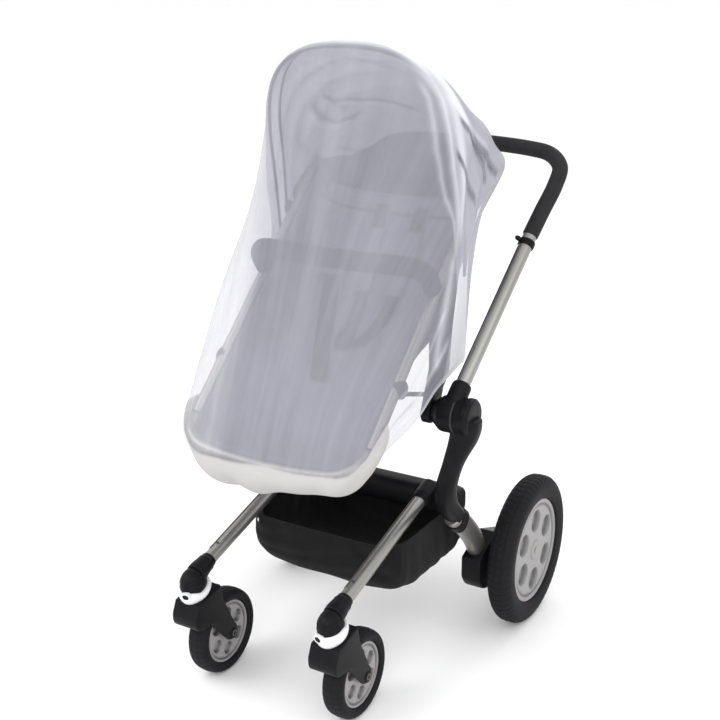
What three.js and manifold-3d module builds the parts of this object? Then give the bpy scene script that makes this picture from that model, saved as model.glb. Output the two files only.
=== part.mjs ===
// A stroller with a mosquito net drawn over its hood and seat.
// Millimetres, +Z up, front towards -Y, the child's left towards +X. Heights start at the floor and
// Y starts midway between the axles; at the end the whole group is moved so that its box is centred.
import * as THREE from "three";
import { mergeVertices } from "three/addons/utils/BufferGeometryUtils.js";
import Module from "manifold-3d";

const wasm = await Module();
wasm.setup();

// Clearance between neighbours, and how far the net stays off what it lies on
const CLEAR = 0.3;
const DRAPE = 2;

// Wheels
const FRONT = { x: 149, y: -242, r: 83, width: 43, rim: 62, sides: 24, bore: 6 };
const REAR = { x: 275.5, y: 242, r: 155, width: 52, rim: 109, sides: 32, bore: 8 };

// Chassis, as Y and Z at the named X
const FORK = { half: 29, gap: 2 };
const PIVOT = { x: 149, y: -313, z: 195, lean: THREE.MathUtils.degToRad(20) };
const LEG = { x: 149, r: 13, low: [-283, 242], slope: Math.tan(THREE.MathUtils.degToRad(16.5)) };
const BAR = { y: 50, z: 318, deep: 50, high: 54, round: 18, reach: 213 };
const JOINT = { y: -33, z: 529, r: 34, inner: 195, outer: 276 };
const MOUNT = { inner: 196, outer: 240 };
const ARM = { wide: 40, deep: 34, path: [[258, -33, 500], [240, -40, 442], [225, -38, 386], [215, -12, 340], [212, 28, 300]] };
const STRUT = { wide: 44, deep: 32, path: [[212, 18, 306], [214, 62, 268], [215, 105, 222], [216, 136, 170]] };

// Handle: a tube from the joint up to the foam, which runs round two bends and across
const HANDLE = { r: 13.5, low: [236, -19, 566], high: [260, 222, 812], collar: 18.5, below: 32, above: 20 };
const GRIP = {
  wide: 31,
  path: [[260, 222.3, 812.3], [265, 266, 854], [268, 318, 896], [260, 360, 926], [228, 386, 945], [180, 396, 952]],
  middle: [0, 402, 958],
};

// Seat frame: both side tubes lie on one line from the foot end to the head end
const TUBE = { x: 184, r: 10, foot: [-245, 522], head: [178, 934] };
const HINGE = { y: 84, z: 848, r: 14, thick: 4 };
const BUMPER = {
  wide: 38,
  deep: 30,
  path: [[182, -20, 750], [179.5, -42, 781], [161.5, -59.5, 796.5], [92, -62, 797]],
  middle: [0, -61, 795],
};
const RAIL = { wide: 24, path: [[184, -246.5, 518.5], [176, -273, 500], [148, -290, 485], [90, -297, 478]], middle: [0, -299, 475] };
const STRAP = { half: 18, thick: 4, top: [-61, 795], foot: [-123, 576.5] };

const COLOURS = {
  mesh: [0xe9e9f0, 0.9, 0],
  denim: [0x63666f, 0.95, 0],
  lining: [0x34363f, 0.95, 0],
  plastic: [0x17181b, 0.5, 0],
  alloy: [0xbdb8b0, 0.32, 0.9],
  foam: [0x141416, 0.85, 0],
  rubber: [0x1c1c1f, 0.8, 0],
  silver: [0xc4c1bb, 0.4, 0.6],
  white: [0xe6e6e8, 0.35, 0],
  canvas: [0x0e0f13, 0.9, 0],
};
const MATERIALS = Object.fromEntries(
  Object.entries(COLOURS).map(([name, [color, roughness, metalness]]) => [
    name,
    new THREE.MeshStandardMaterial({ color, roughness, metalness }),
  ]),
);

const group = new THREE.Group();
const SIDES = { left: 1, right: -1 };

function add(name, geometry, material) {
  const mesh = new THREE.Mesh(geometry, MATERIALS[material]);
  mesh.name = name;
  group.add(mesh);
}

// The same surface with its shared corners merged and no triangle that has lost its area
function welded(geometry) {
  const bare = geometry.clone();
  bare.deleteAttribute("normal");
  bare.deleteAttribute("uv");
  const merged = mergeVertices(bare, 1e-3);
  const kept = [];
  for (let i = 0; i < merged.index.count; i += 3) {
    const [a, b, c] = [0, 1, 2].map((k) => merged.index.getX(i + k));
    if (a !== b && b !== c && c !== a) kept.push(a, b, c);
  }
  merged.setIndex(kept);
  return merged;
}

function solid(geometry) {
  const merged = welded(geometry);
  return new wasm.Manifold(
    new wasm.Mesh({
      numProp: 3,
      vertProperties: new Float32Array(merged.attributes.position.array),
      triVerts: new Uint32Array(merged.index.array),
    }),
  );
}

function geometryOf(body) {
  const { numProp, vertProperties, triVerts } = body.getMesh();
  const positions = [];
  for (let i = 0; i < vertProperties.length; i += numProp) {
    positions.push(vertProperties[i], vertProperties[i + 1], vertProperties[i + 2]);
  }
  const geometry = new THREE.BufferGeometry();
  geometry.setAttribute("position", new THREE.Float32BufferAttribute(positions, 3));
  geometry.setIndex(Array.from(triVerts));
  return geometry;
}

function cut(geometry, ...cutters) {
  return geometryOf(cutters.reduce((body, cutter) => body.subtract(solid(cutter)), solid(geometry)));
}

function join(first, ...others) {
  return geometryOf(others.reduce((body, other) => body.add(solid(other)), solid(first)));
}

// A round rod between two points
function rod(from, to, radius, sides = 16) {
  const along = new THREE.Vector3().subVectors(to, from);
  const geometry = new THREE.CylinderGeometry(radius, radius, along.length(), sides);
  const turn = new THREE.Quaternion().setFromUnitVectors(new THREE.Vector3(0, 1, 0), along.clone().normalize());
  geometry.applyQuaternion(turn);
  const middle = new THREE.Vector3().addVectors(from, to).multiplyScalar(0.5);
  return geometry.translate(middle.x, middle.y, middle.z);
}

// An oval section, wide by high, carried along a smooth curve through the points
function sweep(points, wide, high, steps, sides = 12) {
  const section = new THREE.Shape();
  section.absellipse(0, 0, high / 2, wide / 2, 0, 2 * Math.PI);
  const path = new THREE.CatmullRomCurve3(points, false, "centripetal");
  return new THREE.ExtrudeGeometry(section, { steps, curveSegments: sides / 2, extrudePath: path });
}

// A side view, drawn in Y and Z, given a thickness from one X to another
function plate(outline, fromX, toX, curveSegments = 6) {
  const geometry = new THREE.ExtrudeGeometry(outline, {
    depth: Math.abs(toX - fromX),
    bevelEnabled: false,
    curveSegments,
  });
  const upright = new THREE.Matrix4().set(0, 0, 1, Math.min(fromX, toX), 1, 0, 0, 0, 0, 1, 0, 0, 0, 0, 0, 1);
  return geometry.applyMatrix4(upright);
}

// A profile of radius and X, turned about the X axis through Y and Z, with a flat facet at the bottom
function turned(profile, y, z, sides) {
  const points = profile.map(([radius, x]) => new THREE.Vector2(radius, x));
  const geometry = new THREE.LatheGeometry(points, sides, Math.PI / sides);
  geometry.rotateZ(-Math.PI / 2);
  return geometry.translate(0, y, z);
}

// Where Y and Z lie at a share of the way from one point to another
function between([y0, z0], [y1, z1], share) {
  return [y0 + (y1 - y0) * share, z0 + (z1 - z0) * share];
}

function at(x, [y, z]) {
  return new THREE.Vector3(x, y, z);
}

// Points given on the left, taken to one side
function onSide(points, side) {
  return points.map(([x, y, z]) => new THREE.Vector3(side * x, y, z));
}

// A path from the left over the middle to the right
function across({ path, middle }) {
  return [...onSide(path, 1), ...onSide([middle], 1), ...onSide(path, -1).reverse()];
}

function circle(y, z, radius, sides) {
  return Array.from({ length: sides }, (_, i) => {
    const angle = (2 * Math.PI * i) / sides;
    return new THREE.Vector2(y + radius * Math.cos(angle), z + radius * Math.sin(angle));
  });
}

// Wheels. A tyre is turned from a flat tread, two shoulders and two walls, and stands on a facet.

function tyre(wheel, side) {
  const half = wheel.width / 2;
  const bore = wheel.rim + CLEAR;
  const wall = wheel.r - wheel.rim;
  const tread = wheel.r / Math.cos(Math.PI / wheel.sides);
  const profile = [
    [bore, -0.76 * half],
    [bore + 0.5 * wall, -half],
    [tread, -0.5 * half],
    [tread, 0.5 * half],
    [bore + 0.5 * wall, half],
    [bore, 0.76 * half],
    [bore, -0.76 * half],
  ];
  return turned(profile, wheel.y, wheel.r, wheel.sides).translate(side * wheel.x, 0, 0);
}

// The disc inside the tyre, with the axle's bore and six round pits in its outer face
function rim(wheel, side) {
  const pits = 6;
  const disc = new THREE.Shape(circle(0, 0, wheel.rim * Math.cos(Math.PI / wheel.sides), wheel.sides));
  disc.holes.push(new THREE.Path(circle(0, 0, wheel.bore + 2 * CLEAR, 8)));
  const half = 0.36 * wheel.width;
  const [floor, over] = [0.4 * half, half + 1];
  const cutters = Array.from({ length: pits }, (_, i) => {
    const angle = ((i + 0.5) * 2 * Math.PI) / pits;
    const place = [0.6 * wheel.rim * Math.cos(angle), 0.6 * wheel.rim * Math.sin(angle)];
    return rod(at(side * floor, place), at(side * over, place), 0.2 * wheel.rim, 8);
  });
  return cut(plate(disc, -half, half), ...cutters).translate(side * wheel.x, wheel.y, wheel.r);
}

function axle(fromX, toX, wheel, grow = 0) {
  return rod(at(fromX, [wheel.y, wheel.r]), at(toX, [wheel.y, wheel.r]), wheel.bore + grow, 8);
}

for (const [name, side] of Object.entries(SIDES)) {
  for (const [place, wheel] of [["front", FRONT], ["rear", REAR]]) {
    add(`${place}_tyre_${name}`, tyre(wheel, side), "rubber");
    add(`${place}_rim_${name}`, rim(wheel, side), "silver");
  }
  add(`front_axle_${name}`, axle(side * (FRONT.x - 31), side * (FRONT.x + 31), FRONT), "alloy");
}
add("rear_axle", axle(-REAR.x - 22, REAR.x + 22, REAR), "alloy");

// Casters: a fork with a blunt nose and two arms, a white collar and a domed cap over the pivot

function fork(side) {
  const outline = new THREE.Shape();
  outline.moveTo(-341, 185);
  outline.lineTo(-352, 162);
  outline.quadraticCurveTo(-356, 134, -332, 133);
  outline.lineTo(-306, 130);
  outline.lineTo(-256, 73);
  outline.quadraticCurveTo(-240, 62, -228, 78);
  outline.quadraticCurveTo(-224, 92, -236, 104);
  outline.lineTo(-270, 170);
  outline.lineTo(-276, 202);
  const x = side * FRONT.x;
  const slot = FRONT.width / 2 + FORK.gap;
  return cut(
    plate(outline, x - FORK.half, x + FORK.half, 3),
    rod(at(x - slot, [FRONT.y, FRONT.r]), at(x + slot, [FRONT.y, FRONT.r]), FRONT.r + 2 * FORK.gap, 24),
    axle(x - FORK.half - 1, x + FORK.half + 1, FRONT, CLEAR),
  );
}

// The space that the fork's top fills, which the collar leaves free
function forkTop(side) {
  const outline = new THREE.Shape();
  outline.moveTo(-420, 100);
  outline.lineTo(-200, 100);
  outline.lineTo(-200, 222 + CLEAR);
  outline.lineTo(-276, 202 + CLEAR);
  outline.lineTo(-341, 185 + CLEAR);
  outline.lineTo(-420, 165);
  return plate(outline, side * FRONT.x - 2 * FORK.half, side * FRONT.x + 2 * FORK.half);
}

// A turned piece that stands on the pivot, leaning forward with the collar
function onPivot(profile, side, grow = 0) {
  const points = profile.map(([radius, height], i) => {
    const bottom = i < 2 ? -grow : 0;
    return new THREE.Vector2(radius ? radius + grow : 0, height + bottom);
  });
  const geometry = new THREE.LatheGeometry(points, 16);
  geometry.scale(0.86, 1, 1.12);
  geometry.rotateX(Math.PI / 2 + PIVOT.lean);
  return geometry.translate(side * PIVOT.x, PIVOT.y, PIVOT.z);
}

const COLLAR = [[0, 0], [29, 0], [32, 7], [30, 14], [0, 14]];
const CAP = [[0, 14.3], [26, 14.3], [26, 27], [22, 41], [13, 51], [0, 54]];

function legAt(side, y) {
  return at(side * LEG.x, [y, LEG.low[1] + (y - LEG.low[0]) * LEG.slope]);
}

// A leg runs from the caster's cap to the middle of the cross bar, and sits in a socket there
function leg(side, grow = 0) {
  return rod(legAt(side, LEG.low[0] - 30), legAt(side, BAR.y - 12 + grow), LEG.r + grow, 16);
}

function socket(side) {
  return rod(legAt(side, BAR.y - BAR.deep / 2 - 26), legAt(side, BAR.y), LEG.r + 5, 16);
}

// The cross bar is a rounded bar that holds both legs and both side arms
function crossBar(grow = 0) {
  const y = BAR.deep / 2 + grow;
  const z = BAR.high / 2 + grow;
  const outline = new THREE.Shape();
  const near = [y - BAR.round, z - BAR.round];
  const corners = [[y, -near[1]], [y, near[1]], [near[0], z], [-near[0], z]];
  outline.setFromPoints([...corners, ...corners.map(([a, b]) => [-a, -b])].map(([a, b]) => new THREE.Vector2(a, b)));
  return plate(outline, -BAR.reach - grow, BAR.reach + grow).translate(0, BAR.y, BAR.z);
}

// The side arm drops from the fold joint, leans inwards and turns back at the elbow
function sideArm(side, grow = 0) {
  const points = onSide(ARM.path, side);
  points.at(-1).add(new THREE.Vector3(0, grow, -grow));
  return sweep(points, ARM.wide + 2 * grow, ARM.deep + 2 * grow, 10, 10);
}

function rearStrut(side) {
  return sweep(onSide(STRUT.path, side), STRUT.wide, STRUT.deep, 8, 10);
}

function axleMount(side, grow = 0) {
  const outline = new THREE.Shape();
  outline.moveTo(92 - grow, 182 + grow);
  outline.lineTo(92 - grow, 136);
  outline.quadraticCurveTo(108, 100 - grow, 150, 100 - grow);
  outline.lineTo(262, 128 - grow);
  outline.quadraticCurveTo(278 + grow, 156, 258, 180 + grow);
  outline.lineTo(170, 212 + grow);
  if (!grow) {
    const hole = new THREE.Path();
    hole.absarc(REAR.y, REAR.r, REAR.bore + 2 * CLEAR, 0, 2 * Math.PI, true);
    outline.holes.push(hole);
  }
  return plate(outline, side * (MOUNT.inner - grow), side * (MOUNT.outer + grow), 4);
}

// The fold joint is a barrel with a disc on its outer end
function foldJoint(side, grow = 0) {
  const r = JOINT.r + grow;
  const profile = [[0, JOINT.inner - grow], [r - 14, JOINT.inner - grow], [r, JOINT.inner + 22], [r, 258],
    [r + 2, 262], [r + 2, 271], [r - 4, JOINT.outer + grow], [0, JOINT.outer + grow]];
  const mirrored = side > 0 ? profile : profile.map(([radius, x]) => [radius, -x]).reverse();
  return turned(mirrored, JOINT.y, JOINT.z, 20);
}

// A rod on the handle's line, from and to a distance past its low end and its high end
function onHandle(side, before, after, radius) {
  const [low, high] = onSide([HANDLE.low, HANDLE.high], side);
  const along = high.clone().sub(low).normalize();
  return rod(low.addScaledVector(along, before), high.addScaledVector(along, after), radius, 16);
}

function handleCollar(side) {
  const length = new THREE.Vector3(...HANDLE.high).distanceTo(new THREE.Vector3(...HANDLE.low));
  return onHandle(side, -HANDLE.below, HANDLE.above - length, HANDLE.collar);
}

function handleTube(side, grow = 0) {
  return onHandle(side, HANDLE.above + CLEAR, grow, HANDLE.r + grow);
}

for (const [name, side] of Object.entries(SIDES)) {
  add(`caster_fork_${name}`, fork(side), "plastic");
  add(`caster_ring_${name}`, cut(onPivot(COLLAR, side), forkTop(side)), "white");
  add(`caster_cap_${name}`, onPivot(CAP, side), "plastic");
  add(`front_leg_${name}`, cut(leg(side), onPivot(CAP, side, CLEAR), onPivot(COLLAR, side, CLEAR)), "alloy");
  add(`side_arm_${name}`, cut(sideArm(side), foldJoint(side, CLEAR)), "plastic");
  const strutSeats = [sideArm(side, CLEAR), axleMount(side, CLEAR), crossBar(CLEAR)];
  add(`rear_strut_${name}`, cut(rearStrut(side), ...strutSeats), "alloy");
  add(`axle_mount_${name}`, axleMount(side), "plastic");
  add(`fold_joint_${name}`, foldJoint(side), "plastic");
  add(`handle_collar_${name}`, cut(handleCollar(side), foldJoint(side, CLEAR)), "plastic");
  add(`handle_tube_${name}`, handleTube(side), "alloy");
}
const both = Object.values(SIDES);
const barSeats = both.flatMap((side) => [sideArm(side, CLEAR), leg(side, CLEAR)]);
add("cross_bar", cut(join(crossBar(), ...both.map(socket)), ...barSeats), "plastic");
const grip = sweep(across(GRIP), GRIP.wide, GRIP.wide, 34, 8);
add("handle_grip", cut(grip, ...both.map((side) => handleTube(side, CLEAR))), "foam");

// Seat frame

function seatTube(side, grow = 0) {
  const [foot, head] = [TUBE.foot, TUBE.head].map((end) => at(side * TUBE.x, end));
  const over = head.clone().sub(foot).setLength(grow);
  return rod(foot.sub(over), head.add(over), TUBE.r + grow, 12);
}

function bumperBar(grow = 0) {
  return sweep(across(BUMPER), BUMPER.wide + 2 * grow, BUMPER.deep + 2 * grow, 20, 8);
}

// The bracket that carries the seat stands on the joint's inner end and reaches up to the side tube
function carrier(side) {
  const outline = new THREE.Shape();
  outline.moveTo(-56, 529);
  outline.quadraticCurveTo(-56, 506, -33, 506);
  outline.quadraticCurveTo(-10, 506, -8, 530);
  outline.lineTo(26, 620);
  outline.lineTo(72, 830);
  outline.lineTo(36, 800);
  outline.lineTo(-10, 640);
  return plate(outline, side * 176, side * (JOINT.inner - CLEAR));
}

for (const [name, side] of Object.entries(SIDES)) {
  add(`seat_tube_${name}`, seatTube(side), "alloy");
  add(`seat_carrier_${name}`, cut(carrier(side), seatTube(side, CLEAR)), "plastic");
  const inner = TUBE.x + TUBE.r + CLEAR;
  const faces = [inner, inner + HINGE.thick].map((x) => at(side * x, [HINGE.y, HINGE.z]));
  add(`hood_hinge_${name}`, rod(...faces, HINGE.r, 16), "plastic");
}
const tubeSeats = both.map((side) => seatTube(side, CLEAR));
add("foot_rail", cut(sweep(across(RAIL), RAIL.wide, RAIL.wide, 20, 8), ...tubeSeats), "alloy");
add("bumper_bar", cut(bumperBar(), ...tubeSeats), "plastic");

// Cloth. A sheet is a table of stations; each row is one cross-section of the cloth, with the middle
// line, the widest line and the edge as Y and Z, half the width at the last two, and how square the
// section's shoulder is. Rows are joined by smooth curves, so a row stands at each whole number.

function smooth(values, t) {
  const last = values.length - 1;
  const i = Math.min(Math.floor(t), last - 1);
  const f = t - i;
  const [a, b, c, d] = [i - 1, i, i + 1, i + 2].map((k) => values[Math.min(Math.max(k, 0), last)]);
  return b + 0.5 * f * (c - a + f * (2 * a - 5 * b + 4 * c - d + f * (3 * (b - c) + d - a)));
}

function column(table, name, t) {
  return smooth(table.map((row) => row[name]), t);
}

// One cross-section from its middle to one edge, with the steps evenly spaced along the cloth
function section(table, t, steps) {
  const get = (name) => column(table, name, t);
  const [my, mz, sy, sz, ey, ez] = ["midY", "midZ", "sideY", "sideZ", "edgeY", "edgeZ"].map(get);
  const [side, edge, square] = ["side", "edge", "square"].map(get);
  const fine = 96;
  const points = [];
  for (let i = 0; i <= fine; i += 1) {
    const p = i / fine;
    const angle = Math.min(p * 2, 1) * (Math.PI / 2);
    const down = p < 0.5 ? 0.5 - 0.5 * Math.cos(angle) ** (2 / square) : p;
    const out = p < 0.5 ? side * Math.sin(angle) ** (2 / square) : side + (edge - side) * (2 * p - 1) ** 2;
    const m = (1 - down) * (1 - 2 * down);
    const s = 4 * down * (1 - down);
    const e = down * (2 * down - 1);
    points.push(new THREE.Vector3(out, my * m + sy * s + ey * e, mz * m + sz * s + ez * e));
  }
  const lengths = [0];
  for (let i = 1; i <= fine; i += 1) lengths.push(lengths[i - 1] + points[i].distanceTo(points[i - 1]));
  const even = [];
  for (let k = 0, i = 0; k <= steps; k += 1) {
    const reach = (lengths[fine] * k) / steps;
    while (i < fine - 1 && lengths[i + 1] < reach) i += 1;
    const share = (reach - lengths[i]) / (lengths[i + 1] - lengths[i]);
    even.push(points[i].clone().lerp(points[i + 1], THREE.MathUtils.clamp(share, 0, 1)));
  }
  return even;
}

// The points of a sheet in rows, from the right edge over the middle to the left edge
function rows(table, from, to, along, across, lift = () => new THREE.Vector3()) {
  const grid = [];
  for (let i = 0; i <= along; i += 1) {
    const t = from + ((to - from) * i) / along;
    const half = section(table, t, across / 2);
    const row = [...half.slice(1).reverse().map((p) => new THREE.Vector3(-p.x, p.y, p.z)), ...half];
    grid.push(row.map((p, j) => p.clone().add(lift(t, (2 * j) / across - 1, p))));
  }
  return grid;
}

// The outward direction at each point of a grid, from its neighbours
function normals(grid) {
  return grid.map((row, i) =>
    row.map((_, j) => {
      const before = grid[Math.max(i - 1, 0)][j];
      const after = grid[Math.min(i + 1, grid.length - 1)][j];
      const left = row[Math.max(j - 1, 0)];
      const right = row[Math.min(j + 1, row.length - 1)];
      return new THREE.Vector3().crossVectors(right.clone().sub(left), after.clone().sub(before)).normalize();
    }),
  );
}

function moved(grid, distance) {
  const out = normals(grid);
  return grid.map((row, i) =>
    row.map((p, j) => p.clone().addScaledVector(out[i][j], distance(i / (grid.length - 1), (2 * j) / (row.length - 1) - 1))),
  );
}

// A closed solid between an outer and an inner grid, with a wall round the edge
function shell(outer, inner) {
  const [ni, nj] = [outer.length, outer[0].length];
  const positions = [...outer, ...inner].flat().flatMap((p) => [p.x, p.y, p.z]);
  const index = [];
  const o = (i, j) => i * nj + j;
  const n = (i, j) => ni * nj + i * nj + j;
  const quad = (a, b, c, d) => index.push(a, b, c, a, c, d);
  for (let i = 0; i < ni - 1; i += 1) {
    for (let j = 0; j < nj - 1; j += 1) {
      quad(o(i, j), o(i, j + 1), o(i + 1, j + 1), o(i + 1, j));
      quad(n(i, j), n(i + 1, j), n(i + 1, j + 1), n(i, j + 1));
    }
    quad(o(i, 0), o(i + 1, 0), n(i + 1, 0), n(i, 0));
    quad(o(i + 1, nj - 1), o(i, nj - 1), n(i, nj - 1), n(i + 1, nj - 1));
  }
  for (let j = 0; j < nj - 1; j += 1) {
    quad(o(0, j + 1), o(0, j), n(0, j), n(0, j + 1));
    quad(o(ni - 1, j), o(ni - 1, j + 1), n(ni - 1, j + 1), n(ni - 1, j));
  }
  const geometry = new THREE.BufferGeometry();
  geometry.setAttribute("position", new THREE.Float32BufferAttribute(positions, 3));
  geometry.setIndex(index);
  return geometry;
}

function tabled(names, lines) {
  return lines.map((line) => Object.fromEntries(names.map((name, i) => [name, line[i]])));
}

// The net, from its hem under the foot end, up the front, over the hood and down behind it
const COLUMNS = ["midY", "midZ", "sideY", "sideZ", "edgeY", "edgeZ", "side", "edge", "square"];
const NET = tabled(COLUMNS, [
  [-246, 424, -222, 440, -208, 448, 112, 140, 2.0],
  [-292, 426, -246, 452, -204, 462, 166, 158, 2.2],
  [-324, 462, -256, 506, -200, 486, 200, 172, 2.4],
  [-302, 535, -230, 562, -164, 508, 200, 186, 2.2],
  [-238, 660, -166, 654, -108, 536, 200, 200, 1.95],
  [-180, 790, -98, 754, -48, 572, 199, 205, 1.9],
  [-126, 925, -24, 848, 6, 588, 198, 207, 1.9],
  [-70, 1070, 22, 925, 46, 597, 203, 206, 2.0],
  [-24, 1171, 42, 955, 76, 604, 207, 202, 2.3],
  [60, 1155, 82, 955, 86, 700, 208, 198, 2.3],
  [160, 1108, 138, 938, 106, 806, 207, 190, 2.2],
  [262, 1042, 205, 926, 168, 866, 200, 181, 2.2],
  [338, 968, 275, 920, 242, 892, 177, 161, 2.1],
  [350, 896, 305, 895, 274, 893, 134, 134, 2.0],
]);
const NET_THICK = 1.5;
const HEM_THICK = 3.5;
const HOOD_THICK = 3;

// Folds stand out from the net: where each starts and ends along and across it, its width and height
const FOLDS = tabled(["t0", "v0", "t1", "v1", "wide", "high"], [
  [9.2, 0.42, 5.0, 0.62, 0.06, 13],
  [9.6, 0.62, 5.6, 0.8, 0.06, 10],
  [11.8, 0.4, 7.4, 0.74, 0.07, 10],
  [12.4, 0.62, 8.2, 0.9, 0.06, 9],
  [8.2, -0.5, 3.2, -0.58, 0.07, 8],
  [9.4, -0.66, 4.6, -0.82, 0.07, 8],
  [11.8, -0.46, 8.0, -0.8, 0.07, 8],
  [8.0, -0.22, 2.6, -0.32, 0.08, 6],
  [7.4, 0.1, 3.0, 0.02, 0.08, 5],
  [7.6, 0.32, 2.6, 0.36, 0.07, 7],
  [3.0, 0.62, 1.2, 0.5, 0.08, 8],
  [2.8, -0.44, 0.8, -0.34, 0.1, 10],
]);

// Where the hem is drawn down towards the frame
const TUGS = tabled(["t", "v", "wide", "down"], [
  [1.0, -0.1, 0.13, 10],
  [1.0, -0.4, 0.14, 5],
  [1.2, 0.35, 0.18, -6],
]);

// How near a place is to a fold's line, from 0 to 1, and faded at the fold's two ends
function fold(row, t, v) {
  const share = (t - row.t0) / (row.t1 - row.t0);
  if (share <= 0 || share >= 1) return 0;
  const offset = (v - (row.v0 + (row.v1 - row.v0) * share)) / row.wide;
  return row.high * Math.exp(-offset * offset) * Math.sin(Math.PI * share) ** 0.6;
}

const STATIONS = NET.length - 1;
const plainNet = rows(NET, 0, STATIONS, 44, 36, (t, v) => {
  const down = TUGS.reduce((sum, row) => sum + row.down * Math.exp(-(((t - row.t) / 0.9) ** 2) - ((v - row.v) / row.wide) ** 2), 0);
  return new THREE.Vector3(0, 0, -down);
});

function net() {
  const folded = moved(plainNet, (a, v) => FOLDS.reduce((sum, row) => sum + fold(row, a * STATIONS, v), 0));
  const hem = (a, v) => Math.max(0, 1 - 14 * Math.min(a, 1 - a, (1 - Math.abs(v)) * 0.6));
  return shell(folded, moved(folded, (a, v) => -NET_THICK - (HEM_THICK - NET_THICK) * hem(a, v)));
}
add("net", net(), "mesh");

// The hood lies just inside the net, from the hoop back to behind the seat, on every other column
function hood() {
  const under = plainNet.slice(27, 43).map((row) => row.filter((_, j) => j % 2 === 0).slice(2, -2));
  const atEdge = (a, v) => a === 0 || a === 1 || Math.abs(v) === 1;
  const outer = moved(under, (a, v) => -NET_THICK - (atEdge(a, v) ? DRAPE : DRAPE / 2));
  return shell(outer, moved(outer, () => -HOOD_THICK));
}
add("hood_fabric", hood(), "denim");

// The seat is a sling between the side tubes: its columns are the net's, with the middle at the bottom
const SEAT_X = TUBE.x - TUBE.r - CLEAR;
const SEAT = tabled(["midY", "midZ", "tube"], [
  [212, 868, 0.985],
  [165, 790, 0.88],
  [118, 716, 0.74],
  [74, 655, 0.6],
  [10, 622, 0.5],
  [-62, 606, 0.4],
  [-118, 574, 0.3],
  [-176, 520, 0.17],
  [-228, 488, 0.07],
  [-255, 481, 0.02],
]);

function seat() {
  const table = SEAT.map(({ midY, midZ, tube }) => {
    const [edgeY, edgeZ] = between(TUBE.foot, TUBE.head, tube);
    const [sideY, sideZ] = between([edgeY, edgeZ], [midY, midZ], 0.5);
    return { midY, midZ, sideY, sideZ, edgeY, edgeZ, side: SEAT_X, edge: SEAT_X, square: 3 };
  });
  const grid = rows(table, 0, table.length - 1, 14, 14);
  return shell(grid, moved(grid, () => -4));
}
add("seat_fabric", seat(), "lining");

// The strap between the legs hangs from the bumper bar down to the seat
function strap() {
  const [[topY, topZ], [footY, footZ]] = [STRAP.top, STRAP.foot];
  const half = STRAP.thick / 2;
  const outline = new THREE.Shape();
  outline.moveTo(topY - half, topZ);
  outline.lineTo(footY - half, footZ);
  outline.lineTo(footY + half, footZ);
  outline.lineTo(topY + half, topZ);
  return cut(plate(outline, -STRAP.half, STRAP.half), bumperBar(CLEAR));
}
add("crotch_strap", strap(), "lining");

// The basket is a deep cloth tray that hangs from the legs and the cross bar
const BASKET = tabled(["midY", "midZ", "edgeY", "edgeZ", "side"], [
  [-104, 268, -106, 280, 140],
  [-102, 206, -98, 281, 160],
  [-80, 166, -70, 286, 170],
  [0, 153, 0, 289.5, 173],
  [80, 152, 80, 290.5, 173],
  [140, 158, 140, 290, 170],
  [170, 205, 168, 290, 160],
  [180, 280, 178, 290, 140],
]);

function basket() {
  const table = BASKET.map((row) => ({
    ...row, sideY: (row.midY + row.edgeY) / 2, sideZ: (row.midZ + row.edgeZ) / 2, edge: row.side, square: 3.4,
  }));
  const grid = rows(table, 0, table.length - 1, 12, 12);
  return shell(grid, moved(grid, () => -2));
}
add("basket", basket(), "canvas");

// The group stands on the floor with its box centred over the origin
const box = new THREE.Box3().setFromObject(group);
const centre = box.getCenter(new THREE.Vector3());
group.position.set(-centre.x, -centre.y, -box.min.z);

export default group;
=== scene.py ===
"""A stroller with a fine mosquito net drawn over its hood and seat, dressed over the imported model.

Sizes in the classes are millimetres in the drawing's own frame: +Z up, the front towards -Y, the
seat's left towards +X, and Y counted from midway between the axles. place() takes them to metres
in the model's frame, where every mesh is made.
"""

import logging
import math
from dataclasses import dataclass, field
from enum import Enum
from typing import Callable, Sequence

import bmesh
import bpy
import numpy as np
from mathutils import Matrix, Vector


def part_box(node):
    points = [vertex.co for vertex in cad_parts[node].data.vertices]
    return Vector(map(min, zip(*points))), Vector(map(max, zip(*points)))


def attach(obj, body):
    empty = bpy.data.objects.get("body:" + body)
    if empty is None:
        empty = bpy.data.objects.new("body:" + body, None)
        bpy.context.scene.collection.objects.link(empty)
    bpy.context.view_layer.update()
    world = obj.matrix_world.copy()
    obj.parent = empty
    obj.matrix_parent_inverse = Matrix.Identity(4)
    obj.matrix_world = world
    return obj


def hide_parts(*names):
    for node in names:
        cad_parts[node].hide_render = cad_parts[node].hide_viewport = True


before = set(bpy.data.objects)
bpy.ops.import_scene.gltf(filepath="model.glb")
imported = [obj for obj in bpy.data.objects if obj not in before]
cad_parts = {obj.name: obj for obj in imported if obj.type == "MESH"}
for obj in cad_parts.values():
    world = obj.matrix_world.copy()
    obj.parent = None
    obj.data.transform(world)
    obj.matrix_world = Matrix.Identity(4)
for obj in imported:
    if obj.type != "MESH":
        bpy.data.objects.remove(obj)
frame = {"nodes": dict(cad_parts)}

logging.basicConfig(level=logging.INFO, format="%(message)s")
log = logging.getLogger("stroller")

Array = np.ndarray
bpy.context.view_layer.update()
MM = 0.001
TAU = 2 * math.pi
CLEAR = 0.3


class Side(Enum):
    """The left and right of the seat, as the sign of X."""

    LEFT = 1
    RIGHT = -1

    @property
    def label(self) -> str:
        """The side's word in a node's name."""
        return self.name.lower()


def middle(node: str) -> Array:
    """The centre of a node's box at rest, in metres."""
    low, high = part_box(node)
    return (np.array(low) + np.array(high)) / 2


SHIFT = float(middle("front_tyre_left")[1] + middle("rear_tyre_left")[1]) / 2


def place(points: Array) -> Array:
    """Take points from the drawing to the model: millimetres to metres, and Y from the axles' middle."""
    return np.asarray(points, float) * MM + np.array([0.0, SHIFT, 0.0])


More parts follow.
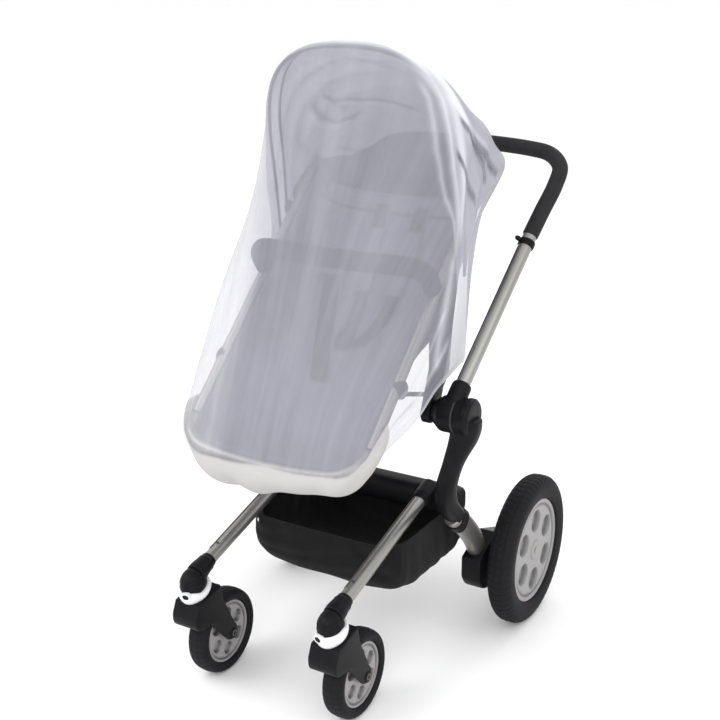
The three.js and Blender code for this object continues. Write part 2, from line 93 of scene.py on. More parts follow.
# Surfaces: grids of points worked out with numpy


def unit(vectors: Array) -> Array:
    """The vectors at length 1."""
    return vectors / np.maximum(np.linalg.norm(vectors, axis=-1, keepdims=True), 1e-12)


def bump(x: Array, centre: float, width: float) -> Array:
    """A smooth hill of height 1: exp(-((x - centre) / width)^2)."""
    return np.exp(-(((x - centre) / width) ** 2))


def ease(x: Array, low: float, high: float) -> Array:
    """A smooth step from 0 at low to 1 at high: 3s^2 - 2s^3."""
    s = np.clip((x - low) / (high - low), 0, 1)
    return s * s * (3 - 2 * s)


class Route:
    """A smooth curve through a few points.

    The knots are the square roots of the spans, the slope at a point is its central difference over
    them, and each span is a cubic between two points and two slopes.
    """

    def __init__(self, points: Sequence[Sequence[float]], fine: int = 400) -> None:
        """Work out the curve as a fine line with its running length.

        Args:
            points: The points that it goes through.
            fine: How many points the fine line has.
        """
        p = np.asarray(points, float)
        knots = np.concatenate([[0], np.cumsum(np.sqrt(np.linalg.norm(np.diff(p, axis=0), axis=1)))])
        slopes = np.gradient(p, knots, axis=0)
        x = np.linspace(0, knots[-1], fine)
        i = np.clip(np.searchsorted(knots, x, side="right") - 1, 0, len(p) - 2)
        h = (knots[i + 1] - knots[i])[:, None]
        f = (x - knots[i])[:, None] / h
        self.line = (
            (2 * f**3 - 3 * f**2 + 1) * p[i]
            + (f**3 - 2 * f**2 + f) * h * slopes[i]
            + (3 * f**2 - 2 * f**3) * p[i + 1]
            + (f**3 - f**2) * h * slopes[i + 1]
        )
        self.run = np.concatenate([[0], np.cumsum(np.linalg.norm(np.diff(self.line, axis=0), axis=1))])
        self.length = float(self.run[-1])

    def at(self, reach: Array) -> Array:
        """The points at these distances along the curve."""
        return np.stack([np.interp(reach, self.run, column) for column in self.line.T], -1)

    def along(self, reach: Array) -> Array:
        """The unit directions at these distances along the curve."""
        step = self.length / 300
        return unit(self.at(np.minimum(reach + step, self.length)) - self.at(np.maximum(reach - step, 0)))


def oval(side: float, up: float, steps: int = 24, square: float = 2.0) -> Array:
    """A closed section: x = side * cos^(2/square), y = up * sin^(2/square), with the signs kept.

    Args:
        side: Half its width.
        up: Half its height.
        steps: Steps round it.
        square: 2 for an ellipse, and more for squarer corners.

    Returns:
        The points, first and last alike.
    """
    angle = np.linspace(0, TAU, steps + 1)
    c, s = np.cos(angle), np.sin(angle)
    power = 2 / square
    return np.stack([side * np.sign(c) * np.abs(c) ** power, up * np.sign(s) * np.abs(s) ** power], -1)


def sweep(
    route: Route,
    section: Array,
    up: Sequence[float],
    count: int,
    round_end: float = 2.0,
    swell: Callable[[Array], Array] | None = None,
) -> Array:
    """Carry a closed section along a route, with both ends rounded and closed.

    A point is the route's point plus x times the side direction plus y times the up direction. The
    side is the tangent crossed with up. At the ends the section shrinks over the last few
    millimetres, and then to nothing.

    Args:
        route: The middle line.
        section: Points of the section as side and up, first and last alike.
        up: A direction that is never along the route.
        count: How many stations there are between the ends.
        round_end: The radius of the rounding at the ends.
        swell: Scale of the section at each share of the length.

    Returns:
        The points as stations by section points by 3.
    """
    bend = np.sin(np.linspace(0, math.pi / 2, 5))[1:]
    start = round_end * (1 - np.cos(np.linspace(0, math.pi / 2, 5)))[1:][::-1]
    size = float(np.abs(section).max())
    shrink = 1 - round_end * (1 - bend) / size
    inset = round_end * 1.2
    stations = np.linspace(inset, route.length - inset, count)
    bent = route.length - round_end + start
    reach = np.concatenate([[0, 0], round_end - start[::-1], stations, bent, [route.length] * 2])
    first = np.concatenate([[0, shrink[0] - 0.02], shrink])
    scale = np.concatenate([first, np.ones(count), first[::-1]])
    reach = np.clip(np.sort(reach), 0, route.length)
    if swell is not None:
        scale = scale * swell(reach / route.length)
    tangent = route.along(reach)
    side = unit(np.cross(tangent, np.asarray(up, float)))
    rise = np.cross(side, tangent)
    x = section[None, :, :1] * scale[:, None, None] * side[:, None]
    y = section[None, :, 1:] * scale[:, None, None] * rise[:, None]
    return route.at(reach)[:, None] + x + y


def rounded(corners: Sequence[Sequence[float]], radius: float, steps: int = 4) -> Array:
    """Round a profile's inner corners: each becomes a parabola between points set back by the radius.

    Args:
        corners: The profile's corners.
        radius: How far a parabola reaches from its corner.
        steps: Steps along each parabola.

    Returns:
        The rounded profile.
    """
    p = np.asarray(corners, float)
    out = [p[0]]
    for before, corner, after in zip(p[:-2], p[1:-1], p[2:]):
        spans = [np.linalg.norm(before - corner), np.linalg.norm(after - corner)]
        back = min(radius, 0.45 * min(spans))
        start = corner + (before - corner) / spans[0] * back
        end = corner + (after - corner) / spans[1] * back
        s = np.linspace(0, 1, steps + 1)[:, None]
        out.extend((1 - s) ** 2 * start + 2 * s * (1 - s) * corner + s**2 * end)
    out.append(p[-1])
    return np.array(out)


def turned(
    profile: Array,
    origin: Sequence[float],
    axis: Sequence[float],
    steps: int = 48,
    squash: tuple[float, float] = (1.0, 1.0),
) -> Array:
    """Turn a profile of radius and height about an axis: origin + h * axis + r * (cos * a + sin * b).

    Args:
        profile: Radius and height of each point.
        origin: Where height 0 lies.
        axis: The direction of the height.
        steps: Steps round the turn.
        squash: Scale of the radius along the two cross directions, the first nearest to X.

    Returns:
        The points as profile points by steps + 1 by 3.
    """
    w = unit(np.asarray(axis, float))
    near = np.array([1.0, 0, 0]) if abs(w[0]) < 0.9 else np.array([0, 1.0, 0])
    a = unit(near - w * (near @ w))
    b = np.cross(w, a)
    angle = np.linspace(0, TAU, steps + 1)
    ring = squash[0] * np.cos(angle)[:, None] * a + squash[1] * np.sin(angle)[:, None] * b
    return np.asarray(origin, float) + profile[:, 1, None, None] * w + profile[:, 0, None, None] * ring


def lathe(
    corners: Sequence[Sequence[float]],
    radius: float,
    origin: Sequence[float],
    axis: Sequence[float],
    steps: int = 48,
    squash: tuple[float, float] = (1.0, 1.0),
) -> Array:
    """Turn a profile about an axis after its corners are rounded.

    Args:
        corners: Radius and height of each corner.
        radius: How far a rounding reaches from its corner.
        origin: Where height 0 lies.
        axis: The direction of the height.
        steps: Steps round the turn.
        squash: Scale of the radius along the two cross directions.

    Returns:
        The points as turned gives them.
    """
    return turned(rounded(corners, radius), origin, axis, steps, squash)


def rod(
    start: Sequence[float],
    end: Sequence[float],
    radius: float,
    edge: float = 1.0,
    steps: int = 24,
) -> Array:
    """A round bar between two points with its end edges rounded.

    Args:
        start: The middle of the first end.
        end: The middle of the other end.
        radius: The bar's radius.
        edge: The radius of its end edges.
        steps: Steps round the bar.

    Returns:
        The points as turned gives them.
    """
    a, b = np.asarray(start, float), np.asarray(end, float)
    length = float(np.linalg.norm(b - a))
    return lathe([(0, 0), (radius, 0), (radius, length), (0, length)], edge, a, b - a, steps)


# Meshes


class Form:
    """The surfaces of one piece, gathered before they become a mesh."""

    def __init__(self) -> None:
        """Start with nothing."""
        self.points: list[Array] = []
        self.faces: list[tuple[int, ...]] = []
        self.uvs: list[Array] = []
        self.values: dict[str, list[Array]] = {}
        self.count = 0

    def grid(self, points: Array, **values: Array) -> "Form":
        """Add a surface of rows and columns, with its UV as lengths in metres along the two ways.

        Args:
            points: Rows by columns by 3, in the drawing's millimetres.
            values: Named values at the points.

        Returns:
            This form.
        """
        rows, columns = points.shape[:2]
        index = np.arange(rows * columns).reshape(rows, columns) + self.count
        corners = [index[:-1, :-1], index[1:, :-1], index[1:, 1:], index[:-1, 1:]]
        self.faces.extend(map(tuple, np.stack(corners, -1).reshape(-1, 4).tolist()))
        down = np.linalg.norm(np.diff(points, axis=0, prepend=points[:1]), axis=2).mean(1).cumsum()
        over = np.linalg.norm(np.diff(points, axis=1, prepend=points[:, :1]), axis=2).mean(0).cumsum()
        uv = np.stack(np.meshgrid(over, down), -1) * MM
        self.uvs.append(uv.reshape(-1, 2))
        self.points.append(place(points.reshape(-1, 3)))
        for name, value in values.items():
            self.values.setdefault(name, []).append(np.broadcast_to(value, (rows, columns)).reshape(-1))
        self.count += rows * columns
        return self

    def mesh(self, name: str, closed: bool = True) -> bpy.types.Mesh:
        """Put the surfaces into one mesh, joined at seams and poles, with its faces outwards.

        Args:
            name: The mesh's name.
            closed: Whether the surfaces close, so that their normals can be worked out.

        Returns:
            The new mesh.
        """
        mesh = bpy.data.meshes.new(name)
        mesh.from_pydata(np.concatenate(self.points).tolist(), [], self.faces)
        corner = np.empty(len(mesh.loops), np.int32)
        mesh.loops.foreach_get("vertex_index", corner)
        layer = mesh.uv_layers.new(name="UVMap")
        layer.data.foreach_set("uv", np.concatenate(self.uvs)[corner].astype(np.float32).ravel())
        for label, parts in self.values.items():
            attribute = mesh.attributes.new(label, "FLOAT", "POINT")
            attribute.data.foreach_set("value", np.concatenate(parts).astype(np.float32))
        bm = bmesh.new()
        bm.from_mesh(mesh)
        bmesh.ops.remove_doubles(bm, verts=bm.verts, dist=2e-6)
        if closed:
            bmesh.ops.recalc_face_normals(bm, faces=bm.faces)
        bm.to_mesh(mesh)
        bm.free()
        return mesh


def show(
    name: str,
    mesh: bpy.types.Mesh,
    finish: "Finish",
    replaces: Sequence[str] = (),
    sharp: float = 38.0,
) -> bpy.types.Object:
    """Make a mesh a piece of the stroller.

    Args:
        name: The piece's name.
        mesh: Its mesh, in metres in the model's frame.
        finish: Its finish.
        replaces: The nodes that it stands for.
        sharp: The angle in degrees past which an edge is drawn sharp.

    Returns:
        The new object, riding on the frame.
    """
    mesh.shade_smooth()
    mesh.set_sharp_from_angle(angle=math.radians(sharp))
    mesh.materials.clear()
    mesh.materials.append(finish.material())
    piece = bpy.data.objects.new(name, mesh)
    bpy.context.collection.objects.link(piece)
    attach(piece, "root")
    if replaces:
        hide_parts(*replaces)
    log.info("piece %s: %d faces", name, len(mesh.polygons))
    return piece


def solid(*grids: Array, name: str = "solid") -> bpy.types.Mesh:
    """A mesh of closed surfaces.

    Args:
        grids: The surfaces, as Form.grid takes them.
        name: The mesh's name.

    Returns:
        The new mesh.
    """
    form = Form()
    for points in grids:
        form.grid(points)
    return form.mesh(name)


def show_solid(
    name: str,
    finish: "Finish",
    *grids: Array,
    node: str = "",
    sharp: float = 38.0,
) -> bpy.types.Object:
    """Show closed surfaces as a piece of the stroller.

    Args:
        name: The piece's name.
        finish: Its finish.
        grids: Its surfaces, as Form.grid takes them.
        node: The node that it stands for, if there is one.
        sharp: The angle in degrees past which an edge is drawn sharp.

    Returns:
        The new object.
    """
    return show(name, solid(*grids, name=name), finish, [node] if node else [], sharp)


def dress(node: str, finish: "Finish") -> None:
    """Give a node that keeps its own shape a finish."""
    for slot in frame["nodes"][node].material_slots:
        slot.material = finish.material()


def plate(
    outline: Sequence[Array],
    low: float,
    high: float,
    edge: float,
    name: str = "plate",
) -> bpy.types.Mesh:
    """A side view given a thickness: loops in Y and Z, the first one outside and the others holes.

    A flat curve is filled, extruded and bevelled, with the bevel inside the outline, and its local
    x, y and z then become Y, Z and X.

    Args:
        outline: Closed loops of Y and Z in millimetres.
        low: The lowest X.
        high: The highest X.
        edge: The radius of the rounded edges.
        name: The mesh's name.

    Returns:
        The mesh in metres in the model's frame.
    """
    curve = bpy.data.curves.new(name, "CURVE")
    curve.dimensions = "2D"
    curve.fill_mode = "BOTH"
    curve.extrude = (high - low) / 2 - edge
    curve.bevel_depth = edge
    curve.bevel_resolution = 3
    curve.offset = -edge
    for loop in outline:
        spline = curve.splines.new("POLY")
        spline.points.add(len(loop) - 1)
        flat = np.column_stack([loop, np.zeros(len(loop)), np.ones(len(loop))])
        spline.points.foreach_set("co", flat.ravel())
        spline.use_cyclic_u = True
    holder = bpy.data.objects.new(name, curve)
    bpy.context.collection.objects.link(holder)
    mesh = bpy.data.meshes.new_from_object(holder.evaluated_get(bpy.context.evaluated_depsgraph_get()))
    bpy.data.objects.remove(holder)
    local = np.empty(3 * len(mesh.vertices))
    mesh.vertices.foreach_get("co", local)
    y, z, x = local.reshape(-1, 3).T
    mesh.vertices.foreach_set("co", place(np.stack([x + (low + high) / 2, y, z], -1)).ravel())
    bm = bmesh.new()
    bm.from_mesh(mesh)
    bmesh.ops.remove_doubles(bm, verts=bm.verts, dist=1e-6)
    bmesh.ops.recalc_face_normals(bm, faces=bm.faces)
    bm.to_mesh(mesh)
    bm.free()
    return mesh


def outline(*parts: Sequence[Sequence[float]], steps: int = 8) -> Array:
    """A closed outline from points and bends: (1 - s)^2 * start + 2s(1 - s) * control + s^2 * end.

    Args:
        parts: A point each, or the control point and the end point of a bend.
        steps: Steps along each bend.

    Returns:
        The loop's points.
    """
    loop: list[Array] = []
    s = np.linspace(0, 1, steps + 1)[1:, None]
    for part in parts:
        p = np.asarray(part, float)
        if p.ndim == 1:
            loop.append(p[None])
        else:
            loop.append((1 - s) ** 2 * loop[-1][-1] + 2 * s * (1 - s) * p[0] + s**2 * p[1])
    return np.concatenate(loop)


def joined(*meshes: bpy.types.Mesh, name: str) -> bpy.types.Mesh:
    """One mesh that holds the others side by side.

    Args:
        meshes: The meshes.
        name: The new mesh's name.

    Returns:
        The new mesh.
    """
    bm = bmesh.new()
    for mesh in meshes:
        bm.from_mesh(mesh)
    whole = bpy.data.meshes.new(name)
    bm.to_mesh(whole)
    bm.free()
    return whole


def carved(mesh: bpy.types.Mesh, *cutters: bpy.types.Mesh) -> bpy.types.Mesh:
    """A mesh with the cutters taken away from it.

    Args:
        mesh: The body.
        cutters: What is taken away, one after another.

    Returns:
        The new mesh.
    """
    body = bpy.data.objects.new("body", mesh)
    bpy.context.collection.objects.link(body)
    tools = []
    for cutter in cutters:
        tool = bpy.data.objects.new("tool", cutter)
        bpy.context.collection.objects.link(tool)
        tools.append(tool)
        modifier = body.modifiers.new("carve", "BOOLEAN")
        modifier.operation = "DIFFERENCE"
        modifier.solver = "EXACT"
        modifier.object = tool
    result = bpy.data.meshes.new_from_object(body.evaluated_get(bpy.context.evaluated_depsgraph_get()))
    for item in [body, *tools]:
        bpy.data.objects.remove(item)
    return result


# Finishes


class Value:
    """One output of a shader node, with arithmetic that adds Math nodes."""

    def __init__(self, tree: "Tree", socket: bpy.types.NodeSocket) -> None:
        """Hold the socket and the tree that it lies in."""
        self.tree = tree
        self.socket = socket

    def math(self, operation: str, first: "Value | float", second: "Value | float") -> "Value":
        """A Math node of the named operation."""
        return self.tree.add("ShaderNodeMath", {"operation": operation}, {0: first, 1: second})

    def __add__(self, other: "Value | float") -> "Value":
        """The sum."""
        return self.math("ADD", self, other)

    def __sub__(self, other: "Value | float") -> "Value":
        """The difference."""
        return self.math("SUBTRACT", self, other)

    def __rsub__(self, other: float) -> "Value":
        """The difference from a number."""
        return self.math("SUBTRACT", other, self)

    def __mul__(self, other: "Value | float") -> "Value":
        """The product."""
        return self.math("MULTIPLY", self, other)

    __radd__ = __add__
    __rmul__ = __mul__

    def sine(self) -> "Value":
        """The sine, as a wave from -1 to 1."""
        return self.tree.add("ShaderNodeMath", {"operation": "SINE"}, {0: self})

    def held(self, low: float = 0.0, high: float = 1.0) -> "Value":
        """The value held between two limits."""
        return self.math("MINIMUM", self.math("MAXIMUM", self, low), high)


class Tree:
    """The nodes of one material."""

    def __init__(self, name: str) -> None:
        """Start a material with no nodes.

        Args:
            name: The material's name.
        """
        self.material = bpy.data.materials.new(name)
        self.material.use_nodes = True
        self.nodes = self.material.node_tree.nodes
        self.links = self.material.node_tree.links
        self.nodes.clear()

    def add(
        self,
        kind: str,
        settings: dict[str, object] | None = None,
        inputs: dict[int | str, "Value | float | Sequence[float]"] | None = None,
        output: int | str = 0,
    ) -> Value:
        """Add a node, with its settings made first and then its inputs linked or set.

        Args:
            kind: The node's type.
            settings: Its own settings, such as a Math node's operation.
            inputs: Values or links for its sockets.
            output: Which output to return.

        Returns:
            The output as a value.
        """
        node = self.nodes.new(kind)
        for key, setting in (settings or {}).items():
            setattr(node, key, setting)
        for key, value in (inputs or {}).items():
            if isinstance(value, Value):
                self.links.new(value.socket, node.inputs[key])
            else:
                node.inputs[key].default_value = value
        return Value(self, node.outputs[output])

    def attribute(self, name: str) -> Value:
        """A named value of the mesh's points."""
        return self.add("ShaderNodeAttribute", {"attribute_name": name}, output="Fac")

    def object_place(self) -> Value:
        """Where a point lies in the model, in metres."""
        return self.add("ShaderNodeTexCoord", output="Object")

    def uv(self) -> Value:
        """Lengths along the cloth, in metres."""
        return self.add("ShaderNodeUVMap", {"uv_map": "UVMap"})

    def axes(self, vector: Value) -> tuple[Value, Value, Value]:
        """A vector's three numbers."""
        x = self.add("ShaderNodeSeparateXYZ", inputs={0: vector})
        return x, *(Value(self, x.socket.node.outputs[k]) for k in (1, 2))

    def noise(self, vector: Value, scale: float, detail: float = 2.0) -> Value:
        """Soft noise from 0 to 1."""
        return self.add("ShaderNodeTexNoise", inputs={"Vector": vector, "Scale": scale, "Detail": detail})

    def mix(
        self,
        factor: Value | float,
        first: Value | Sequence[float],
        second: Value | Sequence[float],
    ) -> Value:
        """A mix of two colours.

        Args:
            factor: 0 for the first and 1 for the second.
            first: The first colour.
            second: The second colour.

        Returns:
            The mixed colour.
        """
        colours = [c if isinstance(c, Value) else (*c, 1.0) for c in (first, second)]
        inputs = {0: factor, 6: colours[0], 7: colours[1]}
        return self.add("ShaderNodeMix", {"data_type": "RGBA"}, inputs, output=2)

    def relief(self, height: Value, distance: float, strength: float = 0.6) -> Value:
        """A normal from a height."""
        inputs = {"Height": height, "Distance": distance, "Strength": strength}
        return self.add("ShaderNodeBump", inputs=inputs)

    def surface(self, **inputs: "Value | float | Sequence[float]") -> bpy.types.Material:
        """The Principled shader with these inputs, led to the output.

        Args:
            inputs: Its inputs, with an underscore for each space in a name.

        Returns:
            The material.
        """
        named = {key.replace("_", " "): value for key, value in inputs.items()}
        shader = self.add("ShaderNodeBsdfPrincipled", inputs=named)
        self.links.new(shader.socket, self.nodes.new("ShaderNodeOutputMaterial").inputs["Surface"])
        return self.material


@dataclass(frozen=True)
class Finish:
    """A finish that is made into a material once."""

    slot: str
    name: str

    def material(self) -> bpy.types.Material:
        """The finish's material, made on first use."""
        return bpy.data.materials.get(self.name) or self.make(Tree(self.name))

    def make(self, tree: Tree) -> bpy.types.Material:
        """Build the nodes."""
        raise NotImplementedError


@dataclass(frozen=True)
class Moulded(Finish):
    """Moulded plastic with a fine grain and faint scuffs."""

    colour: tuple[float, float, float] = (0.005, 0.005, 0.006)
    rough: float = 0.42
    specular: float = 0.12
    grain: float = 0.12

    def make(self, tree: Tree) -> bpy.types.Material:
        """Cloudy roughness, a grained bump and a slightly lighter wear.

        Args:
            tree: The material's nodes, still none.

        Returns:
            The material.
        """
        where = tree.object_place()
        cloud = tree.noise(where, 24.0, 3.0)
        grain = tree.noise(where, 1500.0, 2.0)
        worn = [min(1.0, channel * 1.7 + 0.004) for channel in self.colour]
        colour = tree.mix((cloud - 0.45) * 1.6, self.colour, worn)
        return tree.surface(
            Base_Color=colour,
            Roughness=(cloud * 0.16 + (self.rough - 0.08)).held(0.05),
            Normal=tree.relief(grain, 0.0002, self.grain),
            Specular_IOR_Level=self.specular,
        )


@dataclass(frozen=True)
class Anodised(Finish):
    """Drawn metal tube with a satin finish and fine lines."""

    colour: tuple[float, float, float] = (0.35, 0.342, 0.32)
    rough: float = 0.34
    metal: float = 0.85

    def make(self, tree: Tree) -> bpy.types.Material:
        """Soft clouds in the roughness and a very fine bump.

        Args:
            tree: The material's nodes, still none.

        Returns:
            The material.
        """
        where = tree.object_place()
        cloud = tree.noise(where, 16.0, 2.0)
        fine = tree.noise(where, 2200.0, 1.0)
        darker = [channel * 0.88 for channel in self.colour]
        return tree.surface(
            Base_Color=tree.mix(cloud, darker, self.colour),
            Roughness=cloud * 0.14 + (self.rough - 0.07),
            Metallic=self.metal,
            Normal=tree.relief(fine, 0.0001, 0.15),
        )


@dataclass(frozen=True)
class Rubber(Finish):
    """Tyre rubber, dusty on the tread."""

    def make(self, tree: Tree) -> bpy.types.Material:
        """Dark grey with a paler cloud and a coarse grain.

        Args:
            tree: The material's nodes, still none.

        Returns:
            The material.
        """
        where = tree.object_place()
        dust = tree.noise(where, 30.0, 4.0)
        grain = tree.noise(where, 900.0, 2.0)
        return tree.surface(
            Base_Color=tree.mix(dust, (0.005, 0.005, 0.006), (0.013, 0.013, 0.015)),
            Roughness=dust * 0.2 + 0.55,
            Normal=tree.relief(grain, 0.0003, 0.3),
            Specular_IOR_Level=0.14,
        )


@dataclass(frozen=True)
class Foam(Finish):
    """Closed-cell foam of the handle's grip."""

    def make(self, tree: Tree) -> bpy.types.Material:
        """Black with open pores.

        Args:
            tree: The material's nodes, still none.

        Returns:
            The material.
        """
        where = tree.object_place()
        pores = tree.add("ShaderNodeTexVoronoi", inputs={"Vector": where, "Scale": 900.0})
        cloud = tree.noise(where, 40.0, 2.0)
        return tree.surface(
            Base_Color=tree.mix(cloud, (0.012, 0.012, 0.013), (0.024, 0.024, 0.026)),
            Roughness=0.82,
            Normal=tree.relief(pores, 0.0004, 0.4),
            Specular_IOR_Level=0.25,
        )


@dataclass(frozen=True)
class Woven(Finish):
    """Plain woven cloth: threads both ways, with slubs and a melange of two colours, and painted shade and
    painted highlights laid on by a value of its points.
    """

    dark: tuple[float, float, float] = (0.03, 0.031, 0.042)
    light: tuple[float, float, float] = (0.07, 0.072, 0.092)
    pitch: float = 0.0011
    sheen: float = 0.3
    stitches: float = 0.0
    stitch: tuple[float, float, float] = (0.9, 0.9, 0.95)
    # pale is the colour of painted highlights, and deep the colour of painted shade.
    pale: tuple[float, float, float] = (0.95, 0.95, 0.98)
    deep: tuple[float, float, float] = (0.04, 0.04, 0.05)

    def make(self, tree: Tree) -> bpy.types.Material:
        """Two crossed sine waves along the UV make the weave, and stretched noise the yarn's slubs. A value
        of the points then paints shade and highlights on the colour.

        Args:
            tree: The material's nodes, still none.

        Returns:
            The material.
        """
        uv = tree.uv()
        u, v, _ = tree.axes(uv)
        turn = TAU / self.pitch
        weave = (u * turn).sine() * (v * turn).sine()
        stretch = tree.add("ShaderNodeMapping", inputs={"Vector": uv, "Scale": (900.0, 160.0, 1.0)})
        slub = tree.noise(stretch, 1.0, 2.0)
        cloud = tree.noise(uv, 14.0, 3.0)
        blend = (weave * 0.18 + slub * 0.7 + cloud * 0.5 - 0.1).held()
        colour = tree.mix(blend, self.dark, self.light)
        if self.stitches:
            cells = tree.add("ShaderNodeTexVoronoi", inputs={"Vector": uv, "Scale": 42.0})
            speck = (1.0 - cells * 5.5).held()
            colour = tree.mix(speck * self.stitches, colour, self.stitch)
        # Painted shade and painted highlights: above 0 the colour leans to pale, below 0 to deep.
        tint = tree.attribute("tint")
        colour = tree.mix((tint * 0.7).held(), colour, self.pale)
        colour = tree.mix((tint * -0.9).held(), colour, self.deep)
        return tree.surface(
            Base_Color=colour,
            Roughness=(0.86 - slub * 0.12),
            Normal=tree.relief(weave, 0.0003, 0.5),
            Specular_IOR_Level=0.2,
            Sheen_Weight=self.sheen,
            Sheen_Roughness=0.5,
        )


@dataclass(frozen=True)
class Gauze(Finish):
    """The sheer net: fine white mesh whose cover is in the points' own cover value, and whose colour holds
    painted light and shade besides the hems' paler tone.
    """

    pitch: float = 0.0016
    thin: tuple[float, float, float] = (0.41, 0.41, 0.465)
    full: tuple[float, float, float] = (0.76, 0.76, 0.81)
    doubled: tuple[float, float, float] = (0.47, 0.455, 0.455)

    def make(self, tree: Tree) -> bpy.types.Material:
        """Streaks along the cloth and a finer cloud thin the cover, and so does the threads' grid.

        Args:
            tree: The material's nodes, still none.

        Returns:
            The material.
        """
        uv = tree.uv()
        u, v, _ = tree.axes(uv)
        turn = TAU / self.pitch
        threads = (u * turn).sine() * 0.5 + (v * turn).sine() * 0.5
        stretch = tree.add("ShaderNodeMapping", inputs={"Vector": uv, "Scale": (46.0, 3.2, 1.0)})
        streak = tree.noise(stretch, 1.0, 2.5)
        cloud = tree.noise(uv, 22.0, 3.0)
        cover = tree.attribute("cover")
        open_share = (1.0 - cover).held()
        alpha = cover + open_share * (threads * 0.03 + (cloud - 0.5) * 0.14 + (streak - 0.5) * 0.44)
        # Thin to full with painted light and the hems' paler tone, and towards the doubled colour in the
        # warm band.
        single = tree.mix(tree.attribute("bright"), self.thin, self.full)
        colour = tree.mix(tree.attribute("warm"), single, self.doubled)
        return tree.surface(
            Base_Color=colour,
            Roughness=0.8,
            Alpha=alpha.held(0.05),
            Specular_IOR_Level=0.1,
        )


@dataclass(frozen=True)
class Painted(Finish):
    """A painted or self-coloured gloss moulding."""

    colour: tuple[float, float, float] = (0.33, 0.317, 0.32)
    rough: float = 0.36
    metal: float = 0.25

    def make(self, tree: Tree) -> bpy.types.Material:
        """A thin flake in the colour, dust that dulls it, and painted shade on the walls of hollows.

        Args:
            tree: The material's nodes, still none.

        Returns:
            The material.
        """
        where = tree.object_place()
        cloud = tree.noise(where, 20.0, 3.0)
        flake = tree.noise(where, 1800.0, 1.0)
        darker = [channel * 0.86 for channel in self.colour]
        # Painted shade: about a fifth of the colour, on the walls of hollows where the points' sunk value
        # lies.
        shaded = [channel * 0.22 for channel in self.colour]
        colour = tree.mix(cloud * 0.7 + flake * 0.3, darker, self.colour)
        return tree.surface(
            Base_Color=tree.mix(tree.attribute("sunk") * 0.85, colour, shaded),
            Roughness=cloud * 0.15 + self.rough,
            Metallic=self.metal,
            Normal=tree.relief(flake, 0.0001, 0.1),
        )


@dataclass(frozen=True)
class Floor(Finish):
    """The studio's plain pale floor."""

    def make(self, tree: Tree) -> bpy.types.Material:
        """A matt near-white.

        Args:
            tree: The material's nodes, still none.

        Returns:
            The material.
        """
        return tree.surface(Base_Color=(1.0, 1.0, 1.0, 1.0), Roughness=0.9, Specular_IOR_Level=0.1)


PLASTIC = Moulded("plastic", "black plastic")
TRIM = Moulded("plastic", "grey plastic", (0.05, 0.05, 0.055), 0.5)
ALLOY = Anodised("alloy", "satin tube")
FOAM = Foam("foam", "grip foam")
RUBBER = Rubber("rubber", "tyre rubber")
SILVER = Painted("silver", "silver rim")
WHITE = Painted("white", "white moulding", (0.82, 0.82, 0.83), 0.3, 0.0)
# The hood cloth is painted several times lighter than its own grey, as painted light inside the dim hood.
HOOD_CLOTH_PAINTED_LIGHT = Woven("denim", "hood cloth", (0.46, 0.46, 0.53), (0.74, 0.74, 0.82), 0.0012, 0.3, 0.8)
LINING = Woven("lining", "seat cloth", (0.1, 0.104, 0.14), (0.2, 0.21, 0.28))
# A much darker copy of the seat's lining: painted shade behind the head and in the hood's gussets.
BACK_CLOTH_PAINTED_SHADE = Woven("lining", "back cloth", (0.012, 0.0125, 0.018), (0.032, 0.033, 0.045))
# A darker copy of the seat's lining: painted shade at the foot end.
FOOT_CLOTH_PAINTED_SHADE = Woven("lining", "foot cloth", (0.045, 0.047, 0.07), (0.1, 0.105, 0.15))
SLEEVE = Woven("lining", "bar sleeve", (0.003, 0.003, 0.006), (0.009, 0.009, 0.015), 0.0011, 0.0)
WEBBING = Woven("lining", "webbing", (0.004, 0.004, 0.006), (0.01, 0.01, 0.014), 0.0016, 0.0)
CANVAS = Woven("canvas", "basket canvas", (0.003, 0.003, 0.0035), (0.0075, 0.0075, 0.009), 0.0014, 0.03)
NETTING = Gauze("mesh", "net")


# Wheels


